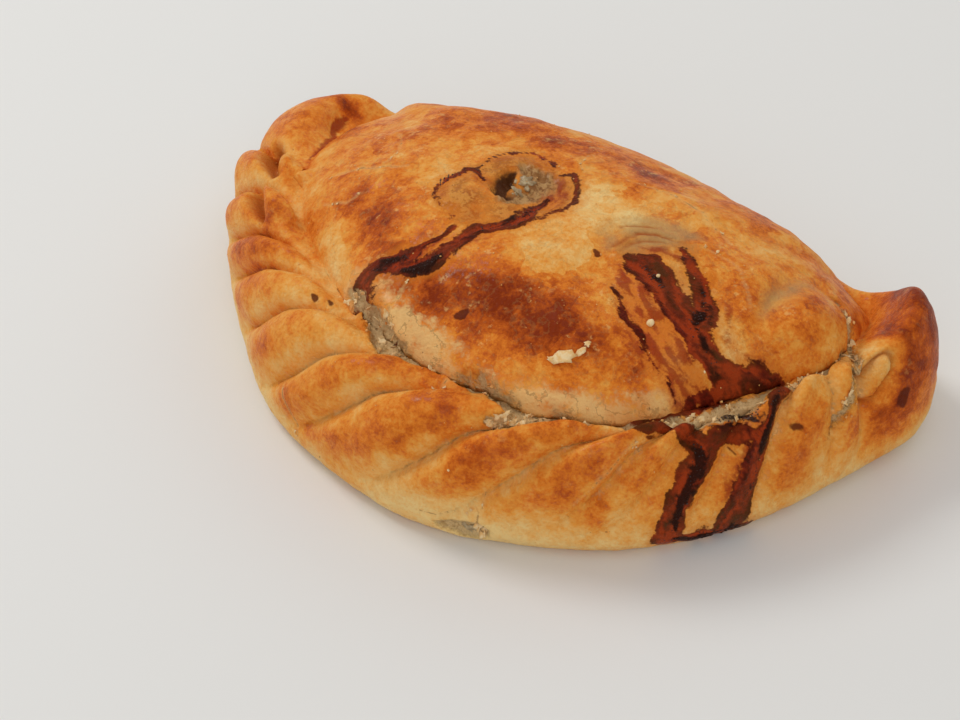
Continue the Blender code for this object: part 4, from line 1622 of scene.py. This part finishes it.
class Tone(Enum):
    """The finishes of the small bits."""

    PALE_FLAKE = BitFinish("pale_flake", (0.88, 0.66, 0.36), (0.80, 0.48, 0.18))
    GOLD_CRUMB = BitFinish("gold_crumb", (0.88, 0.55, 0.20), (0.66, 0.24, 0.05))
    BURNT = BitFinish("burnt_juice", (0.050, 0.010, 0.004), (0.012, 0.003, 0.002), 0.35, 0.7, 0.3)
    FILLING = BitFinish("grey_filling", (0.50, 0.38, 0.21), (0.30, 0.19, 0.085), 0.45, 1.6, 0.2)


class Flake(NamedTuple):
    """A broken flake on the unrolled crust, in mm, with its long way's heading in degrees."""

    x: float
    y: float
    heading: float
    size: float
    stretch: float


class Speck(NamedTuple):
    """A rounded bit on the unrolled crust, in mm."""

    x: float
    y: float
    radius: float


class Scraps(NamedTuple):
    """A run of torn scraps: along what, how many, how far off it and how large."""

    stroke: Stroke
    count: int
    spread: float
    size: float


@dataclass
class Litter:
    """The small bits on the crust: loose flakes, lifted skin, crumbs, burnt grains and filling.

    Attributes:
        crust: the crust that they lie on.
        flake_outline: a broken flake's distances from its middle, at even turns.
        flakes, specks: the broken flakes and pale specks on the dome.
        fillings: the bits of filling in the ruptures.
        scraps_per_mm: how many scraps stand along a tear for each mm of its half width.
        torn_crumbs, strewn_crumbs, grains: how many lie along each tear, over the crust and on
            each burnt run.
        strewn_reach: half the length and width of the oval that the crumbs are strewn over, in mm.
    """

    crust: Crust
    flake_outline: tuple = (1.5, 1.25, 1.55, 1.2, 1.4, 1.0, 1.3, 1.6, 1.15, 1.4, 0.9, 1.25, 1.6, 1.1)
    flakes: tuple = (
        Flake(27.0, -32.0, 28.0, 1.05, 1.9),
        Flake(30.0, -29.5, 65.0, 0.62, 1.5),
        Flake(30.5, -28.0, 10.0, 0.45, 1.1),
        Flake(25.0, -33.0, 0.0, 0.4, 1.4),
    )
    specks: tuple = (
        Speck(35.0, -6.0, 0.55), Speck(39.0, -17.0, 0.85), Speck(52.0, -18.0, 0.3), Speck(13.0, -60.0, 0.3),
    )
    fillings: tuple = (
        Speck(-4.6, 7.0, 1.9), Speck(-3.4, 3.0, 1.7), Speck(17.0, -74.6, 1.5), Speck(19.0, -73.8, 1.2),
    )
    scraps_per_mm: float = 9.0
    torn_crumbs: int = 12
    strewn_crumbs: int = 200
    strewn_reach: tuple = (85.0, 56.0)
    grains: int = 46

    @staticmethod
    def _along(stroke: Stroke, chance: random.Random, spread: float) -> tuple[float, float, float]:
        """Draw a place on a stroke.

        Args:
            stroke: the line to lie on.
            chance: what draws the place.
            spread: how far off the middle it may lie, as a share of the half width.

        Returns:
            Its x and y in mm, and the stroke's heading there in degrees.
        """
        route = stroke.route()
        index = chance.randrange(len(route) - 1)
        start, end = route[index], route[index + 1]
        share = chance.random()
        x, y, half = start + (end - start) * share
        heading = math.atan2(end[1] - start[1], end[0] - start[0])
        off = chance.uniform(-spread, spread) * half
        return x - math.sin(heading) * off, y + math.cos(heading) * off, math.degrees(heading)

    def loose_flakes(self) -> bpy.types.Object:
        """Make the broken flakes of pastry and the pale specks that lie on the dome.

        Returns:
            Its object.
        """
        heap = Heap(5)
        for flake in self.flakes:
            point, normal = self.crust.spot(flake.x, flake.y)
            radii = [radius * flake.size * heap.chance.uniform(0.8, 1.2) for radius in self.flake_outline]
            heap.shard(point + normal * 0.35, normal, flake.heading, radii, flake.stretch, 0.35, 0.10)
        for speck in self.specks:
            point, normal = self.crust.spot(speck.x, speck.y)
            heap.lump(point + normal * speck.radius * 0.3, normal, speck.radius, 0.55, 2, 0.35)
        return heap.piece("loose_flakes", Tone.PALE_FLAKE)

    def lifted_skin(self) -> bpy.types.Object:
        """Make the thin ragged scraps of skin that stand along the tears and cracks.

        Returns:
            Its object.
        """
        heap = Heap(11)
        runs = []
        for stroke in TEARS:
            widest_half = max(point[2] for point in stroke.points)
            runs.append(Scraps(stroke, int(self.scraps_per_mm * widest_half), 1.15, 1.2))
        runs += [Scraps(stroke, 3, 1.2, 0.5) for stroke in CRACKS]
        runs.append(Scraps(BURST, 4, 1.1, 1.5))
        for run in runs:
            for _ in range(run.count):
                x, y, heading = self._along(run.stroke, heap.chance, run.spread)
                point, normal = self.crust.spot(x, y)
                lean = np.array([heap.chance.gauss(0.0, 0.30) for _ in range(3)])
                radii = [run.size * heap.chance.uniform(0.12, 0.85) for _ in range(11)]
                turn = heading + heap.chance.gauss(0.0, 35.0)
                heap.shard(point + normal * 0.05, normal + lean, turn, radii, 1.5, 0.14, 0.5)
        return heap.piece("lifted_skin", Tone.PALE_FLAKE)

    def crumbs(self) -> bpy.types.Object:
        """Make the crumbs on the dome, in the groove and on the rope.

        Returns:
            Its object.
        """
        heap = Heap(17)
        for stroke in TEARS:
            for _ in range(self.torn_crumbs):
                x, y, _ = self._along(stroke, heap.chance, 1.6)
                self._crumb(heap, x, y, 0.16, 0.42)
        half_long, half_wide = self.strewn_reach
        for _ in range(self.strewn_crumbs):
            turn = heap.chance.uniform(0.0, 2.0 * math.pi)
            reach = math.sqrt(heap.chance.random())
            x, y = half_long * reach * math.cos(turn), half_wide * reach * math.sin(turn)
            self._crumb(heap, x, y, 0.08, 0.22)
        return heap.piece("crumbs", Tone.GOLD_CRUMB)

    def _crumb(self, heap: Heap, x: float, y: float, least: float, most: float) -> None:
        """Put one crumb on the crust.

        Args:
            heap: the crumbs so far.
            x, y: its place on the unrolled crust, in mm.
            least, most: what its radius lies between, in mm.
        """
        point, normal = self.crust.spot(x, y)
        radius = heap.chance.uniform(least, most)
        heap.lump(point + normal * radius * 0.4, normal, radius, heap.chance.uniform(0.6, 1.0), 1, 0.6)

    def burnt_grains(self) -> bpy.types.Object:
        """Make the black crust of burnt juice, as grains along its thickest runs.

        Returns:
            Its object.
        """
        heap = Heap(23)
        for stroke in CORES:
            for _ in range(self.grains):
                x, y, _ = self._along(stroke, heap.chance, 0.9)
                point, normal = self.crust.spot(x, y)
                radius = heap.chance.uniform(0.10, 0.26)
                heap.lump(point, normal, radius, heap.chance.uniform(0.3, 0.5), 1, 0.6)
        return heap.piece("burnt_grains", Tone.BURNT)

    def filling(self) -> bpy.types.Object:
        """Make the bits of filling that show where the crust burst.

        Returns:
            Its object.
        """
        heap = Heap(29)
        for bit in self.fillings:
            point, normal = self.crust.spot(bit.x, bit.y)
            heap.lump(point - normal * bit.radius * 0.15, normal, bit.radius, 0.42, 4, 0.8)
        return heap.piece("filling", Tone.FILLING)

    def build(self) -> list[bpy.types.Object]:
        """Return every kind of small bit, one object each."""
        return [self.loose_flakes(), self.lifted_skin(), self.crumbs(), self.burnt_grains(), self.filling()]


# ---------------------------------------------------------------- the stage


class Lamp(NamedTuple):
    """A square soft light that points at the pasty: its place and size in metres, its power in watts."""

    name: str
    place: tuple
    size: float
    power: float


@dataclass
class Stage:
    """The plain pale floor, the soft studio light and the camera.

    Attributes:
        eye: where the camera stands, in mm.
        heading: the way it looks.
        roll: how far it leans, in degrees.
        lens, sensor: its lens and its sensor's width, in mm.
        lamps: the soft lights.
        surround: how bright the even white surround is.
        floor_colour, floor_rough, floor_radius: the floor, its radius in metres.
    """

    eye: tuple = (222.9, -377.0, 380.6)
    heading: tuple = (-0.4005, 0.6410, -0.6547)
    roll: float = 1.59
    lens: float = 97.5
    sensor: float = 36.0
    lamps: tuple = (
        Lamp("key", (-0.85, 0.10, 0.95), 0.45, 5.5),
        Lamp("front", (0.70, -1.20, 0.95), 1.0, 4.6),
        Lamp("back", (0.2, 1.2, 0.8), 1.0, 1.8),
    )
    surround: float = 0.52
    floor_colour: tuple = (0.80, 0.79, 0.76)
    floor_rough: float = 0.6
    floor_radius: float = 3.0

    def camera(self) -> None:
        """Make the scene's camera."""
        data = bpy.data.cameras.new("camera")
        data.lens = self.lens
        data.sensor_width = self.sensor
        data.clip_start, data.clip_end = 0.01, 20.0
        ahead = Vector(self.heading).normalized()
        level = ahead.cross(Vector((0.0, 0.0, 1.0))).normalized()
        upright = level.cross(ahead)
        turn = math.radians(self.roll)
        right = level * math.cos(turn) - upright * math.sin(turn)
        above = level * math.sin(turn) + upright * math.cos(turn)
        axes = Matrix((right, above, -ahead)).transposed().to_4x4()
        thing = bpy.data.objects.new("camera", data)
        thing.matrix_world = Matrix.Translation([length * MM for length in self.eye]) @ axes
        bpy.context.scene.collection.objects.link(thing)
        bpy.context.scene.camera = thing

    def floor(self) -> bpy.types.Object:
        """Make the floor, a wide plain disc.

        Returns:
            Its object.
        """
        disc = bmesh.new()
        bmesh.ops.create_circle(disc, cap_ends=True, segments=96, radius=self.floor_radius)
        mesh = bpy.data.meshes.new("floor")
        disc.to_mesh(mesh)
        disc.free()
        bench = Bench("floor_pale")
        bench.feed(bench.surface, "Base Color", (*self.floor_colour, 1.0))
        bench.feed(bench.surface, "Roughness", self.floor_rough)
        return placed(mesh, bench.material)

    def lights(self) -> None:
        """Make the soft lights and the even surround."""
        for lamp in self.lamps:
            data = bpy.data.lights.new(lamp.name, "AREA")
            data.shape = "SQUARE"
            data.size = lamp.size
            data.energy = lamp.power
            thing = bpy.data.objects.new(lamp.name, data)
            thing.location = lamp.place
            thing.rotation_euler = (-Vector(lamp.place)).to_track_quat("-Z", "Y").to_euler()
            bpy.context.scene.collection.objects.link(thing)
        world = bpy.data.worlds.new("surround")
        bpy.context.scene.world = world
        world.use_nodes = True
        background = world.node_tree.nodes["Background"]
        background.inputs["Color"].default_value = (1.0, 1.0, 1.0, 1.0)
        background.inputs["Strength"].default_value = self.surround


def main() -> None:
    """Build every piece, then the stage."""
    logging.basicConfig(level=logging.INFO, format="%(name)s: %(message)s")
    crust = Crust()
    whole = crust.build()
    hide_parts("pasty")
    for piece in [whole, *Litter(crust).build()]:
        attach(piece, ROOT)
        log.info("%s: %d faces", piece.name, len(piece.data.polygons))
    stage = Stage()
    stage.floor()
    stage.lights()
    stage.camera()
    bpy.context.scene.view_settings.view_transform = "Standard"


if __name__ == "__main__":
    main()
